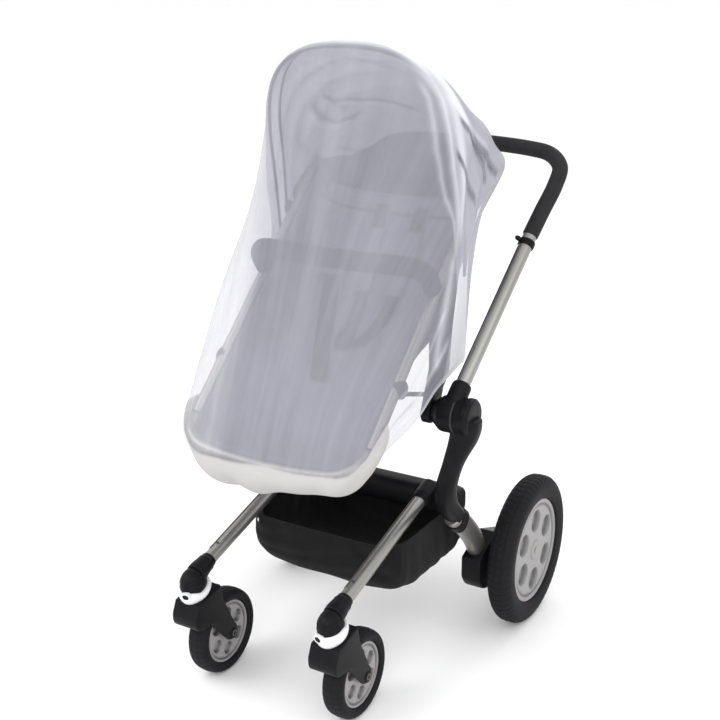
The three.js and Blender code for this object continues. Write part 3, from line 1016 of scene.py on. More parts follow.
@dataclass
class Wheel:
    """One wheel: a tyre with a block tread, and a disc with six round pits round its hub."""

    name: str
    side: Side
    x: float
    y: float
    r: float
    width: float
    rim: float
    blocks: int
    pits_inside: bool
    bowls: int = 6
    bowl_at: float = 0.6
    bowl_r: float = 0.215
    disc_half: float = 0.36
    angle: Array = field(default_factory=lambda: np.linspace(0, TAU, 289))

    def tyre(self) -> None:
        """Turn the tyre's section about the axle, with grooves sunk into the tread.

        The section is a smooth loop from the bore over the walls and the crown. A groove's depth is
        a hill in the angle within each block, and two lines run round the tread.
        """
        half, bore, wall = self.width / 2, self.rim + CLEAR, self.r - self.rim
        walls = [
            (-0.6 * half, bore), (-0.8 * half, bore), (-0.97 * half, bore + 0.3 * wall),
            (-0.98 * half, bore + 0.6 * wall), (-0.8 * half, self.r - 0.16 * wall),
            (-0.45 * half, self.r - 0.8),
        ]
        loop = [*walls, (0, self.r), *[(-x, rho) for x, rho in reversed(walls)]]
        section = Route(loop, 400)
        reach = np.linspace(0, section.length, 46)
        x, rho = section.at(reach).T
        angle = np.linspace(0, TAU, self.blocks * 8 + 1)
        phase = (angle[None] * self.blocks / TAU + 0.35 * np.abs(x[:, None]) / half) % 1.0
        tread = ease(rho, self.r - 0.45 * wall, self.r - 0.2 * wall)
        cross = bump(phase, 0.5, 0.11)
        rings = bump(np.abs(x), 0.3 * half, 0.06 * half)
        sunk = np.maximum(cross, rings[:, None]) * tread[:, None] * 0.0125 * self.r
        radius = rho[:, None] - np.minimum(sunk, 1.7)
        points = np.stack(
            [np.broadcast_to(self.side.value * self.x + x[:, None], radius.shape),
             self.y + radius * np.sin(angle), self.r - radius * np.cos(angle)], -1,
        )
        name = f"{self.name}_tyre_{self.side.label}"
        show_solid(f"{name}_tread", RUBBER, np.concatenate([points, points[:1]]), node=name, sharp=50)

    def face(self, pits: bool) -> tuple[Array, Array, Array]:
        """One side of the disc: heights over the middle plane on a grid of radii and angles.

        Args:
            pits: Whether the face has its bowls or is plain.

        Returns:
            The radii, the heights as radii by angles, and how much painted shade each point gets, on the
            walls of the bowls and of the groove inside the flange.
        """
        half, rim = self.disc_half * self.width, self.rim - 0.6
        inner = np.linspace(0, 0.86, 84)
        outer = np.linspace(0.865, 1.0, 28)
        radius = np.concatenate([inner, outer]) * rim
        shape = (radius.size, self.angle.size)
        dish = [
            (0, -0.6), (0.3, -0.6), (0.84, -1.2), (0.875, -3.0), (0.905, -3.0), (0.925, 0.2),
            (0.985, 0.2), (1.0, -0.9),
        ]
        share, rise = np.array(dish).T
        height = np.broadcast_to(half + np.interp(radius / rim, share, rise)[:, None], shape).copy()
        # Painted shade in the groove inside the flange.
        walls = np.broadcast_to(bump(radius / rim, 0.89, 0.02)[:, None], shape).copy()
        if pits:
            deep = half * (0.52 if self.pits_inside else 0.6)
            for k in range(self.bowls):
                turn = (k + 0.5) * TAU / self.bowls
                beside = radius[:, None] * np.cos(self.angle) - self.bowl_at * rim * math.cos(turn)
                over = radius[:, None] * np.sin(self.angle) - self.bowl_at * rim * math.sin(turn)
                bowl = np.clip(1 - np.hypot(beside, over) / (self.bowl_r * rim), 0, 1)
                height -= deep * (1 - (1 - np.clip(bowl * 2.2, 0, 1)) ** 2.4)
                # Painted shade on the bowl's walls.
                walls += bump(bowl, 0.2, 0.17) * (bowl > 0)
        return radius, height, np.clip(walls, 0, 1)

    def disc(self) -> None:
        """Set both faces on the barrel, with round bowls in the outer face and in front in both, and painted
        shade on the walls of the bowls and the groove.
        """
        form = Form()
        edges = []
        for face in (1, -1):
            radius, height, walls = self.face(face == 1 or self.pits_inside)
            x = self.side.value * (self.x + face * height)
            y = self.y + radius[:, None] * np.cos(self.angle)
            z = self.r + radius[:, None] * np.sin(self.angle)
            points = np.stack([x, y, z], -1)
            edges.append(points[-1])
            form.grid(points, sunk=walls)
        form.grid(np.stack(edges), sunk=0.0)
        name = f"{self.name}_rim_{self.side.label}"
        show(f"{name}_disc", form.mesh(name), SILVER, [name], 50)

    def hub(self) -> None:
        """A small domed cap on the axle."""
        half, r = self.disc_half * self.width, 0.13 * self.rim + 2
        reach = 20.5 if self.name == "rear" else half + 3.5
        corners = [
            (0, half - 1), (r * 1.35, half - 1), (r * 1.25, half + 1.6), (r, half + 2.2),
            (r * 0.92, reach), (0, reach + 0.8),
        ]
        sign = self.side.value
        centre = (sign * self.x, self.y, self.r)
        points = turned(rounded(corners, 1.0, 3), centre, (sign, 0, 0), 32)
        show_solid(f"{self.name}_hub_{self.side.label}", SILVER, points)

    def build(self) -> None:
        """Make the whole wheel."""
        self.tyre()
        self.disc()
        self.hub()


# Casters


LEG_LOW = (-283, 242)
LEG_SLOPE = math.radians(16.5)


@dataclass
class Caster:
    """A front fork with its white collar and domed cap, all leaning forward over the wheel."""

    side: Side
    x: float = 149
    wheel_y: float = -242
    wheel_r: float = 83
    half: float = 29
    slot: float = 23.5
    pivot: tuple[float, float] = (-313, 195)
    lean: float = math.radians(20)
    egg: tuple[float, float] = (0.86, 1.12)

    def fork(self) -> None:
        """Cut the wheel's space and a round nose out of a side view, and add bosses and a ridge."""
        view = outline(
            (-341, 186), (-351, 163), [(-355, 134), (-332, 133)], (-306, 130), (-258, 76),
            [(-242, 63), (-229, 78)], [(-224, 92), (-236, 104)], (-268, 168), [(-272, 186), (-276, 201)],
        )
        x = self.side.value * self.x
        y, z = self.wheel_y, self.wheel_r
        body = plate([view], x - self.half, x + self.half, 3.5, "fork")
        space = solid(rod((x - self.slot, y, z), (x + self.slot, y, z), z + 4, 0.4, 96))
        nose = solid(rod((x - 60, -357, 96), (x + 60, -357, 96), 34, 1.0, 64))
        button = [(0, -3), (11.5, -3), (11.5, 0.4), (9.5, 1.8), (0, 2.2)]
        ends = [lathe(button, 1.0, (x + sign * self.half, y, z), (sign, 0, 0), 32) for sign in (1, -1)]
        places = [(-24, -338, 161), (-14, -347, 158), (0, -350, 157), (14, -347, 158), (24, -338, 161)]
        ridge = Route(np.array(places) + np.array([x, 0, 0]))
        ends.append(sweep(ridge, oval(1.6, 2.4, 16), (0, 0, 1), 40, 1.0))
        name = f"caster_fork_{self.side.label}"
        whole = joined(carved(body, space, nose), solid(*ends), name=name)
        show(f"{name}_moulding", whole, PLASTIC, [name], 34)

    def axis(self) -> tuple[float, float, float]:
        """The pivot's direction, leaning forward."""
        return (0.0, -math.sin(self.lean), math.cos(self.lean))

    def origin(self, height: float = 0.0) -> Array:
        """A point on the pivot at a height."""
        y, z = self.pivot
        return np.array([self.side.value * self.x, y, z]) + height * np.array(self.axis())

    def collar(self) -> None:
        """A white ring round the pivot: its front wall stands higher, with a round hole in a boss.

        Each point is raised along the pivot by a hill of the angle from the front, as far as it
        lies above the ring's foot.
        """
        corners = rounded([(0, 0.2), (28.5, 0.2), (31.6, 6), (30.5, 13.6), (25.4, 14.2), (0, 14.2)], 2.0)
        points = turned(corners, self.origin(), self.axis(), 64, self.egg)
        angle = np.linspace(0, TAU, 65) - 1.5 * math.pi
        flank = np.maximum(np.cos(angle - self.side.value * 1.5), 0) ** 6
        share = ease(corners[:, 1], 2, 13)[:, None] * ease(corners[:, 0], 8, 24)[:, None]
        rise = share * (11 * ease(np.cos(angle), 0.1, 0.95) + 8 * flank)
        points = points + rise[..., None] * np.array(self.axis())
        out = unit(np.array([-0.18 * self.side.value, -1.0, -0.12]))
        face = self.origin(14.5) + 34.0 * out
        lip = [(0, -6), (8, -6), (8, 1.6), (6.2, 2.8), (5.2, 2.2), (5.2, 0), (0, 0)]
        name = f"caster_ring_{self.side.label}"
        show_solid(f"{name}_collar", WHITE, points, lathe(lip, 0.8, face, out, 32, (1.25, 1.0)), node=name)
        hole = lathe([(0, -4), (6.0, -4), (6.0, 1.7), (0, 1.7)], 0.3, face, out, 32, (1.25, 1.0))
        show_solid(f"caster_stud_{self.side.label}", PLASTIC, hole)

    def cap(self) -> None:
        """A domed cap that leans into the leg, with two grooves round it between low ridges."""
        corners = [
            (0, 14.6), (25.7, 14.6), (26, 20), (25.2, 27), (23.5, 33), (21.8, 41), (18, 47.5), (13, 51),
            (7, 53.4), (0, 54),
        ]
        profile = Route(rounded(corners, 2.5), 300)
        rows = profile.at(np.linspace(0, profile.length, 120))
        ridges = 1.0 * bump(rows[:, 1], 30.5, 1.5) + 0.9 * bump(rows[:, 1], 40.0, 1.3)
        grooves = 1.5 * bump(rows[:, 1], 27.0, 1.2) + 1.4 * bump(rows[:, 1], 36.8, 1.1)
        rows[:, 0] += (ridges - grooves) * (rows[:, 0] > 5)
        dome = turned(rows, self.origin(), self.axis(), 64, self.egg)
        along = np.array([0.0, math.cos(LEG_SLOPE), math.sin(LEG_SLOPE)])
        foot = np.array([self.side.value * self.x, *LEG_LOW]) - 34 * along
        neck = [(0, 0), (19, 2), (19.5, 12), (17.2, 30), (17.2, 36), (15.6, 38), (14.6, 47), (0, 47)]
        name = f"caster_cap_{self.side.label}"
        show_solid(f"{name}_dome", PLASTIC, dome, lathe(neck, 1.5, foot, along, 48), node=name, sharp=60)

    def build(self) -> None:
        """Make the whole caster."""
        self.fork()
        self.collar()
        self.cap()


# Chassis


def on_side(points: Sequence[Sequence[float]], side: Side) -> Array:
    """Points given on the left, taken to one side."""
    return np.asarray(points, float) * np.array([side.value, 1, 1])


def across(path: Sequence[Sequence[float]], centre: Sequence[float]) -> Array:
    """A path from the left over the middle to the right."""
    left = np.asarray(path, float)
    return np.concatenate([left, [centre], left[::-1] * np.array([-1, 1, 1])])


@dataclass
class Chassis:
    """Legs, cross bar, side arms, struts, axle mounts and joints."""

    leg_x: float = 149
    leg_r: float = 13
    bar: tuple[float, float] = (50, 318)
    bar_deep: float = 50
    bar_high: float = 54
    bar_reach: float = 213
    joint: tuple[float, float] = (-33, 529)
    joint_r: float = 34
    arm_path: tuple = (
        (260, -33, 530), (257, -33, 498), (240, -40, 442), (225, -38, 386), (215, -12, 340),
        (212, 28, 300),
    )
    strut_path: tuple = ((212, 18, 306), (214, 62, 268), (215, 105, 222), (216, 136, 170))

    def leg_at(self, y: float) -> list[float]:
        """The leg's middle line on the left at a Y."""
        return [self.leg_x, y, LEG_LOW[1] + (y - LEG_LOW[0]) * math.tan(LEG_SLOPE)]

    def legs(self, side: Side) -> None:
        """A tube from the caster's cap to the cross bar, with two dark lines along it and a screw.

        Args:
            side: The side that it is on.
        """
        start, end = on_side([self.leg_at(-300), self.leg_at(34)], side)
        name = f"front_leg_{side.label}"
        show_solid(f"{name}_tube", ALLOY, rod(start, end, self.leg_r, 1.0, 40), node=name)
        axis = unit(end - start)
        over = np.cross(axis, [1.0, 0, 0])
        over = over * np.sign(over[2])
        lines = []
        for turn in np.radians([-24, -52]):
            out = (self.leg_r - 0.5) * (math.cos(turn) * over + math.sin(turn) * np.array([1.0, 0, 0]))
            lines.append(rod(start + out + 46 * axis, end + out - 40 * axis, 1.5, 0.4, 8))
        show_solid(f"leg_lines_{side.label}", TRIM, *lines)
        top = start + 62 * axis + self.leg_r * 0.98 * over
        show_solid(f"leg_screw_{side.label}", TRIM, rod(top, top + 1.1 * over, 3.2, 0.6, 16))

    def cross_bar(self) -> None:
        """A rounded bar from side to side, with a stepped socket round each leg."""
        y, z = self.bar
        r = self.leg_r
        line = Route([(-self.bar_reach, y, z), (0, y, z), (self.bar_reach, y, z)])
        section = oval(self.bar_deep / 2, self.bar_high / 2, 48, 3.6)
        parts = [solid(sweep(line, section, (0, 0, 1), 20, 6.0))]
        socket = [(0, 0), (r + 1.2, 0), (r + 4.2, 4), (r + 5, 16), (r + 5, 50), (0, 50)]
        collar = [(r, 12), (r + 5.6, 12), (r + 5.6, 15), (r, 15), (r, 12)]
        for side in Side:
            low, high = on_side([self.leg_at(-1), self.leg_at(50)], side)
            axis = unit(high - low)
            parts.append(solid(lathe(socket, 1.5, low, axis)))
            parts.append(solid(lathe(collar, 0.6, low, axis)))
        show("cross_bar_moulding", joined(*parts, name="cross bar"), PLASTIC, ["cross_bar"])

    def arms(self, side: Side) -> None:
        """The arm from the joint down to the elbow, fuller at both ends, with a thin waist.

        Args:
            side: The side that it is on.
        """
        def swell(share: Array) -> Array:
            """Widest in the joint, thinner below it and fuller round the elbow."""
            top, waist, elbow = bump(share, 0.06, 0.16), bump(share, 0.42, 0.14), bump(share, 0.87, 0.12)
            return 0.99 + 0.42 * top - 0.08 * waist + 0.02 * elbow

        route = Route(on_side(self.arm_path, side))
        points = sweep(route, oval(17, 20, 48, 2.7), (1, 0, 0), 44, 5.0, swell)
        name = f"side_arm_{side.label}"
        show_solid(f"{name}_casting", PLASTIC, points, node=name)

    def struts(self, side: Side) -> None:
        """The curved strut from the elbow back to the axle mount, with a cup round its upper end.

        Args:
            side: The side that it is on.
        """
        points = sweep(Route(on_side(self.strut_path, side)), oval(22, 16, 56, 2.5), (1, 0, 0), 40, 3.0)
        name = f"rear_strut_{side.label}"
        show_solid(f"{name}_tube", ALLOY, points, node=name)
        cup = Route(on_side([(212.5, 30, 296), (213.2, 50, 279)], side))
        points = sweep(cup, oval(24.5, 18, 56, 2.5), (1, 0, 0), 8, 2.5)
        show_solid(f"strut_cup_{side.label}", PLASTIC, points)

    def mounts(self, side: Side) -> None:
        """The plate that joins strut and rear axle, with a boss on the axle and a release knob.

        Args:
            side: The side that it is on.
        """
        view = outline(
            (92.5, 181), (92.5, 137), [(108, 100.5), (150, 100.5)], (262, 128.5),
            [(277.5, 156), (258, 179.5)], (170, 211.5),
        )
        sign = side.value
        low, high = sorted((sign * 196.5, sign * 239.5))
        body = plate([view], low, high, 6.0, "mount")
        boss = lathe([(0, 234), (23, 234), (21, 243), (12, 246), (0, 246)], 2.0, (0, 242, 155), (sign, 0, 0))
        knob = lathe([(0, 226), (9, 226), (8.4, 244), (0, 245.5)], 2.0, (0, 138, 178), (sign, 0, 0), 32)
        name = f"axle_mount_{side.label}"
        show(f"{name}_casting", joined(body, solid(boss), solid(knob), name=name), PLASTIC, [name])

    def joints(self, side: Side) -> None:
        """The round fold joint: a barrel with a flange, a light seam and a plain domed cover.

        Args:
            side: The side that it is on.
        """
        r = self.joint_r
        barrel = [
            (0, 195.3), (17, 195.3), (21, 198), (33, 214), (r, 220), (r, 240), (r - 1.4, 241),
            (r - 1.4, 244), (r, 245), (r, 258), (r + 1.8, 262), (r + 1.8, 270), (r - 3, 275.2), (20, 276),
            (0, 276),
        ]
        seam = [(r - 2.5, 241.1), (r - 0.5, 241.1), (r - 0.5, 243.9), (r - 2.5, 243.9), (r - 2.5, 241.1)]
        where, axis = (0, *self.joint), (side.value, 0, 0)
        name = f"fold_joint_{side.label}"
        show_solid(f"{name}_barrel", PLASTIC, lathe(barrel, 1.6, where, axis, 72), node=name)
        show_solid(f"joint_seam_{side.label}", TRIM, lathe(seam, 0.3, where, axis, 72))

    def build(self) -> None:
        """Make the whole chassis."""
        for side in Side:
            self.legs(side)
            self.arms(side)
            self.struts(side)
            self.mounts(side)
            self.joints(side)
            dress(f"front_axle_{side.label}", ALLOY)
        self.cross_bar()
        dress("rear_axle", ALLOY)


# Handle


@dataclass
class Handle:
    """Two tubes that rise from the joints, and the foam grip that runs from one over to the other."""

    low: tuple[float, float, float] = (236, -19, 566)
    high: tuple[float, float, float] = (260, 222, 812)
    r: float = 13.5
    grip_r: float = 15.5
    path: tuple = (
        (260, 222.3, 812.3), (265, 266, 854), (268, 318, 896), (260, 360, 926), (228, 386, 945),
        (180, 396, 952),
    )
    centre: tuple[float, float, float] = (0, 402, 958)
    rib: float = 5.5

    def tubes(self, side: Side) -> None:
        """The straight tube, its dark line, its collar at the joint and its ring under the foam.

        Args:
            side: The side that it is on.
        """
        low, high = on_side([self.low, self.high], side)
        axis = unit(high - low)
        end = float(np.linalg.norm(high - low))
        name = f"handle_tube_{side.label}"
        show_solid(f"{name}_metal", ALLOY, rod(low + 20.3 * axis, high, self.r, 0.8, 48), node=name)
        line = unit(-0.8 * np.array([1.0, 0, 0]) * side.value + np.array([0, -axis[2], axis[1]]))
        groove = rod(low + 24 * axis + 12.6 * line, high + 12.6 * line - 30 * axis, 1.9, 0.5, 10)
        show_solid(f"handle_line_{side.label}", PLASTIC, groove)
        collar = [(0, -32), (15, -32), (18.5, -26), (18.5, 12), (17.5, 17.5), (14.5, 20), (0, 20)]
        name = f"handle_collar_{side.label}"
        show_solid(f"{name}_moulding", PLASTIC, lathe(collar, 2.0, low, axis), node=name)
        ring = [(0, -24), (15.6, -24), (16.2, -20), (16.2, -13), (15.2, -10.5), (0, -10.5)]
        ring = [(radius, end + height) for radius, height in ring]
        lever = [(0, 10), (4.4, 12), (4.8, 22), (3.2, 26), (0, 27)]
        lever = lathe(lever, 1.5, low + axis * (end - 16), line, 24)
        show_solid(f"handle_ring_{side.label}", PLASTIC, lathe(ring, 1.2, low, axis), lever)

    def grip(self) -> None:
        """Foam carried along both bends: the radius dips in a narrow line at each rib."""
        route = Route(across(self.path, self.centre), 1600)
        count = int(route.length / self.rib * 5)

        def swell(share: Array) -> Array:
            """One rib for each step along the foam."""
            phase = (share * route.length / self.rib) % 1.0
            return 1.0 - 0.055 * bump(phase, 0.5, 0.16)

        points = sweep(route, oval(self.grip_r, self.grip_r, 32), (0, -0.64, 0.77), count, 3.0, swell)
        show_solid("handle_grip_foam", FOAM, points, node="handle_grip", sharp=60)

    def build(self) -> None:
        """Make the handle."""
        for side in Side:
            self.tubes(side)
        self.grip()


# Seat frame


@dataclass
class SeatFrame:
    """The two side tubes with their carriers and hinges, the rail at the feet and the bumper bar."""

    x: float = 184
    r: float = 10
    foot: tuple[float, float] = (-245, 522)
    head: tuple[float, float] = (178, 934)
    hinge: tuple[float, float] = (84, 848)
    rail_path: tuple = ((184, -246.5, 518.5), (176, -273, 500), (148, -290, 485), (90, -297, 478))
    rail_centre: tuple[float, float, float] = (0, -299, 475)
    bar_path: tuple = ((182, -20, 750), (179.5, -42, 781), (161.5, -59.5, 796.5), (92, -62, 797))
    bar_centre: tuple[float, float, float] = (0, -61, 795)

    def tubes(self, side: Side) -> None:
        """A side tube, the carrier that holds it on the joint, and the hood's round hinge.

        Args:
            side: The side that it is on.
        """
        low, high = (np.array([side.value * self.x, *end]) for end in (self.foot, self.head))
        name = f"seat_tube_{side.label}"
        show_solid(f"{name}_metal", ALLOY, rod(low, high, self.r, 1.5, 32), node=name)
        view = outline(
            (-56, 529), [(-56, 506), (-33, 506)], [(-10, 506), (-8, 530)], (26, 620), (71, 828), (37, 799),
            (-10, 640),
        )
        low_x, high_x = sorted((side.value * 176.3, side.value * 194.3))
        groove = solid(rod(low, high, self.r + CLEAR, 0.2, 32))
        name = f"seat_carrier_{side.label}"
        carrier = carved(plate([view], low_x, high_x, 3.0, "carrier"), groove)
        show(f"{name}_casting", carrier, PLASTIC, [name])
        corners = [(0, 194.4), (13.8, 194.4), (13.8, 196.6), (11, 198.1), (0, 198.2)]
        name = f"hood_hinge_{side.label}"
        knob = lathe(corners, 0.8, (0, *self.hinge), (side.value, 0, 0), 40)
        show_solid(f"{name}_knob", PLASTIC, knob, node=name)

    def sides(self, side: Side) -> None:
        """The small parts along a side tube: its cloth panel with two press studs, a joint and a stay.

        Args:
            side: The side that they are on.
        """
        axis = (side.value, 0, 0)
        view = outline(
            (-20, 575), [(-6, 548), (22, 548)], [(50, 550), (60, 592)], (67, 650), [(60, 700), (26, 704)],
            (-22, 664),
        )
        low, high = sorted((side.value * 175.0, side.value * 178.0))
        panel = show(f"side_panel_{side.label}", plate([view], low, high, 0.8, "panel"), LINING)
        stud = [(0, 176.5), (5.6, 176.5), (5.6, 179.4), (4, 180.4), (0, 180.6)]
        studs = [lathe(stud, 0.6, (0, *at), axis, 24) for at in ((62, 684), (38, 608))]
        show_solid(f"press_studs_{side.label}", WHITE, *studs)
        joint = [(0, 178), (13, 178), (17, 181), (17, 193), (14.5, 196.4), (0, 196.8)]
        ends = on_side([(182, -142, 592), (182, -24, 556)], side)
        stay = rod(*ends, 4.2, 1.0, 20)
        show_solid(f"seat_stay_{side.label}", TRIM, lathe(joint, 1.5, (0, -152, 604), axis, 40), stay)

    def rail(self) -> None:
        """The rail that carries the foot end, a bent tube."""
        route = Route(across(self.rail_path, self.rail_centre))
        points = sweep(route, oval(12, 12, 28), (0, -0.6, 0.8), 70, 3.0)
        show_solid("foot_rail_tube", ALLOY, points, node="foot_rail")

    def bumper(self) -> None:
        """The bar in front of the seat: a soft sleeve, fuller in the middle, with creases near its ends."""
        route = Route(across(self.bar_path, self.bar_centre), 800)

        def swell(share: Array) -> Array:
            """A slight crown in the middle and narrow creases where the sleeve bends."""
            creases = sum(bump(share, at, 0.004) for at in (0.1, 0.13, 0.155, 0.845, 0.87, 0.9))
            return 0.97 + 0.03 * bump(share, 0.5, 0.3) - 0.03 * creases

        points = sweep(route, oval(15, 19, 36, 2.3), (0, 0.76, 0.65), 220, 4.0, swell)
        show_solid("bumper_bar_sleeve", SLEEVE, points, node="bumper_bar", sharp=60)

    def build(self) -> None:
        """Make the seat's frame."""
        for side in Side:
            self.tubes(side)
            self.sides(side)
        self.rail()
        self.bumper()


# Cloth


class Sheet:
    """A cloth laid through a table of stations.

    Each row of the table is a cross-section: the middle line, the widest line and the edge as Y and
    Z, half the width at the last two, and how square the shoulder is. Rows are joined by uniform
    cubic curves. A section runs from the middle as a superellipse to the widest line and then in to
    the edge, and its points are spaced evenly along it.
    """

    def __init__(self, table: Sequence[Sequence[float]]) -> None:
        """Hold the table."""
        self.table = np.asarray(table, float)
        self.last = len(table) - 1

    def smooth(self, t: Array) -> Array:
        """The table's columns at some stations, on uniform cubic curves through the rows.

        Args:
            t: The stations, as row numbers with fractions.

        Returns:
            Stations by columns.
        """
        i = np.clip(np.floor(t).astype(int), 0, self.last - 1)
        f = (t - i)[:, None]
        a, b, c, d = (self.table[np.clip(i + k, 0, self.last)] for k in (-1, 0, 1, 2))
        return b + 0.5 * f * (c - a + f * (2 * a - 5 * b + 4 * c - d + f * (3 * (b - c) + d - a)))

    def points(self, t: Array, v: Array, fine: int = 96) -> Array:
        """The cloth's points at some stations and places across.

        Args:
            t: The stations.
            v: The places across, from -1 at the right edge to 1 at the left.
            fine: Steps along half a section, which is measured on them.

        Returns:
            Stations by places by 3.
        """
        my, mz, sy, sz, ey, ez, side, edge, square = self.smooth(t).T[..., None]
        p = np.linspace(0, 1, fine + 1)[None]
        angle = np.minimum(2 * p, 1) * math.pi / 2
        shoulder = p < 0.5
        cos, sin = np.maximum(np.cos(angle), 0), np.sin(angle)
        down = np.where(shoulder, 0.5 - 0.5 * cos ** (2 / square), p)
        out = np.where(shoulder, side * sin ** (2 / square), side + (edge - side) * (2 * p - 1) ** 2)
        m, s, e = (1 - down) * (1 - 2 * down), 4 * down * (1 - down), down * (2 * down - 1)
        lines = np.stack([out, my * m + sy * s + ey * e, mz * m + sz * s + ez * e], -1)
        rows = []
        for line in lines:
            run = np.concatenate([[0], np.cumsum(np.linalg.norm(np.diff(line, axis=0), axis=1))])
            rows.append([np.interp(np.abs(v) * run[-1], run, column) for column in line.T])
        grid = np.moveaxis(np.array(rows), 1, 2)
        grid[..., 0] *= np.sign(v)
        return grid


def outward(grid: Array) -> Array:
    """Unit normals of a grid: the way across crossed with the way along."""
    return unit(np.cross(np.gradient(grid, axis=1), np.gradient(grid, axis=0)))


def lifted(grid: Array, height: Array | float) -> Array:
    """The grid moved out along its normals."""
    return grid + outward(grid) * np.broadcast_to(np.asarray(height, float), grid.shape[:2])[..., None]


def lengths(name: str, grid: Array) -> tuple[float, float, float]:
    """Measure a cloth as its longest row, its longest column and all its cells.

    Args:
        name: The cloth's word in the log.
        grid: Its rows and columns of points.

    Returns:
        Its width and length in metres, and its area in square metres.
    """
    over = np.linalg.norm(np.diff(grid, axis=1), axis=2).sum(1).max() * MM
    down = np.linalg.norm(np.diff(grid, axis=0), axis=2).sum(0).max() * MM
    cells = np.cross(grid[1:, 1:] - grid[:-1, :-1], grid[1:, :-1] - grid[:-1, 1:])
    area = np.linalg.norm(cells, axis=2).sum() / 2 * MM**2
    log.info("%s: %.3f by %.3f m, %.3f m2", name, over, down, area)
    return float(over), float(down), float(area)


def walled(outer: Array, thickness: float) -> Array:
    """A closed slab from a grid: its outer face, its inner face back again, and the walls between.

    The rows of both faces are joined end to end, so that each row of the result is a loop round the
    cloth's section, and the first and last loops shrink to a line.

    Args:
        outer: The outer face.
        thickness: How far the inner face lies in from it.

    Returns:
        The loops.
    """
    inner = lifted(outer, -thickness)
    loops = np.concatenate([outer, inner[:, ::-1], outer[:, :1]], axis=1)
    count = outer.shape[1]
    middle_line = (loops[:, :count] + loops[:, count : 2 * count][:, ::-1]) / 2
    flat = np.concatenate([middle_line, middle_line[:, ::-1], middle_line[:, :1]], axis=1)
    return np.concatenate([flat[:1], loops, flat[-1:]])


def around(outer: Array, inner: Array | None = None) -> Array:
    """A cloth's own value at its points, carried over to the points of its closed slab.

    Args:
        outer: The value on the outer face.
        inner: The value on the inner face, if it isn't the same.

    Returns:
        The value at the points that walled gives.
    """
    inner = outer if inner is None else inner
    loops = np.concatenate([outer, inner[:, ::-1], outer[:, :1]], axis=1)
    return np.concatenate([loops[:1], loops, loops[-1:]])


NET_ROWS = (
    (-246, 424, -222, 440, -208, 448, 112, 140, 2.0),
    (-292, 426, -246, 452, -204, 462, 166, 158, 2.2),
    (-324, 462, -256, 506, -200, 486, 200, 172, 2.4),
    (-302, 535, -230, 562, -164, 508, 200, 186, 2.2),
    (-238, 660, -166, 654, -108, 536, 200, 200, 1.95),
    (-180, 790, -98, 754, -48, 572, 199, 205, 1.9),
    (-126, 925, -24, 848, 6, 588, 198, 207, 1.9),
    (-70, 1070, 22, 925, 46, 597, 203, 206, 2.0),
    (-24, 1171, 42, 955, 76, 604, 207, 202, 2.3),
    (60, 1155, 82, 955, 86, 700, 208, 198, 2.3),
    (160, 1108, 138, 938, 106, 806, 207, 190, 2.2),
    (262, 1042, 205, 926, 168, 866, 200, 181, 2.2),
    (338, 968, 275, 920, 242, 892, 177, 161, 2.1),
    (350, 896, 305, 895, 274, 893, 134, 134, 2.0),
)


@dataclass(frozen=True)
class Fold:
    """A long fold of the net: where it starts and ends along and across it, its width and height."""

    t0: float
    v0: float
    t1: float
    v1: float
    wide: float
    high: float

    def height(self, t: Array, v: Array) -> Array:
        """A hill across the fold's line, faded as a sine at its two ends.

        Args:
            t: The station of each place.
            v: The share across of each place.

        Returns:
            How far the cloth is raised, in millimetres.
        """
        share = (t - self.t0) / (self.t1 - self.t0)
        inside = (share > 0) & (share < 1)
        line = self.v0 + (self.v1 - self.v0) * share
        fade = np.sin(math.pi * np.clip(share, 0, 1)) ** 0.6
        return np.where(inside, self.high * bump(v - line, 0, self.wide) * fade, 0)


@dataclass(frozen=True)
class Stroke:
    """A line of gathered or parted threads, with a painted highlight along some and a painted shadow along
    others: its places as station and share across, and its width.
    """

    places: tuple[tuple[float, float], ...]
    wide: float
    cover: float
    # Painted light along the line: a painted highlight above 0, a painted shadow below 0.
    bright: float
    along: float = 105.0
    over: float = 560.0

    def nearness(self, t: Array, v: Array) -> Array:
        """A hill of the distance to the nearest span of the line, faded at both ends.

        Args:
            t: The station of each place.
            v: The share across of each place.

        Returns:
            1 on the line, down to 0 away from it.
        """
        scale = np.array([self.along, self.over])
        line = np.array(self.places) * scale
        point = np.stack([t, v], -1) * scale
        spans = np.diff(line, axis=0)
        runs = np.concatenate([[0], np.cumsum(np.linalg.norm(spans, axis=1))])
        best = np.full(t.shape, 1e9)
        share = np.zeros(t.shape)
        for start, span, run in zip(line, spans, runs):
            part = np.clip(((point - start) @ span) / (span @ span), 0, 1)
            gap = np.linalg.norm(point - start - part[..., None] * span, axis=-1)
            nearer = gap < best
            best = np.where(nearer, gap, best)
            share = np.where(nearer, (run + part * np.linalg.norm(span)) / runs[-1], share)
        return bump(best, 0, self.wide) * ease(share, 0, 0.12) * (1 - ease(share, 0.85, 1))


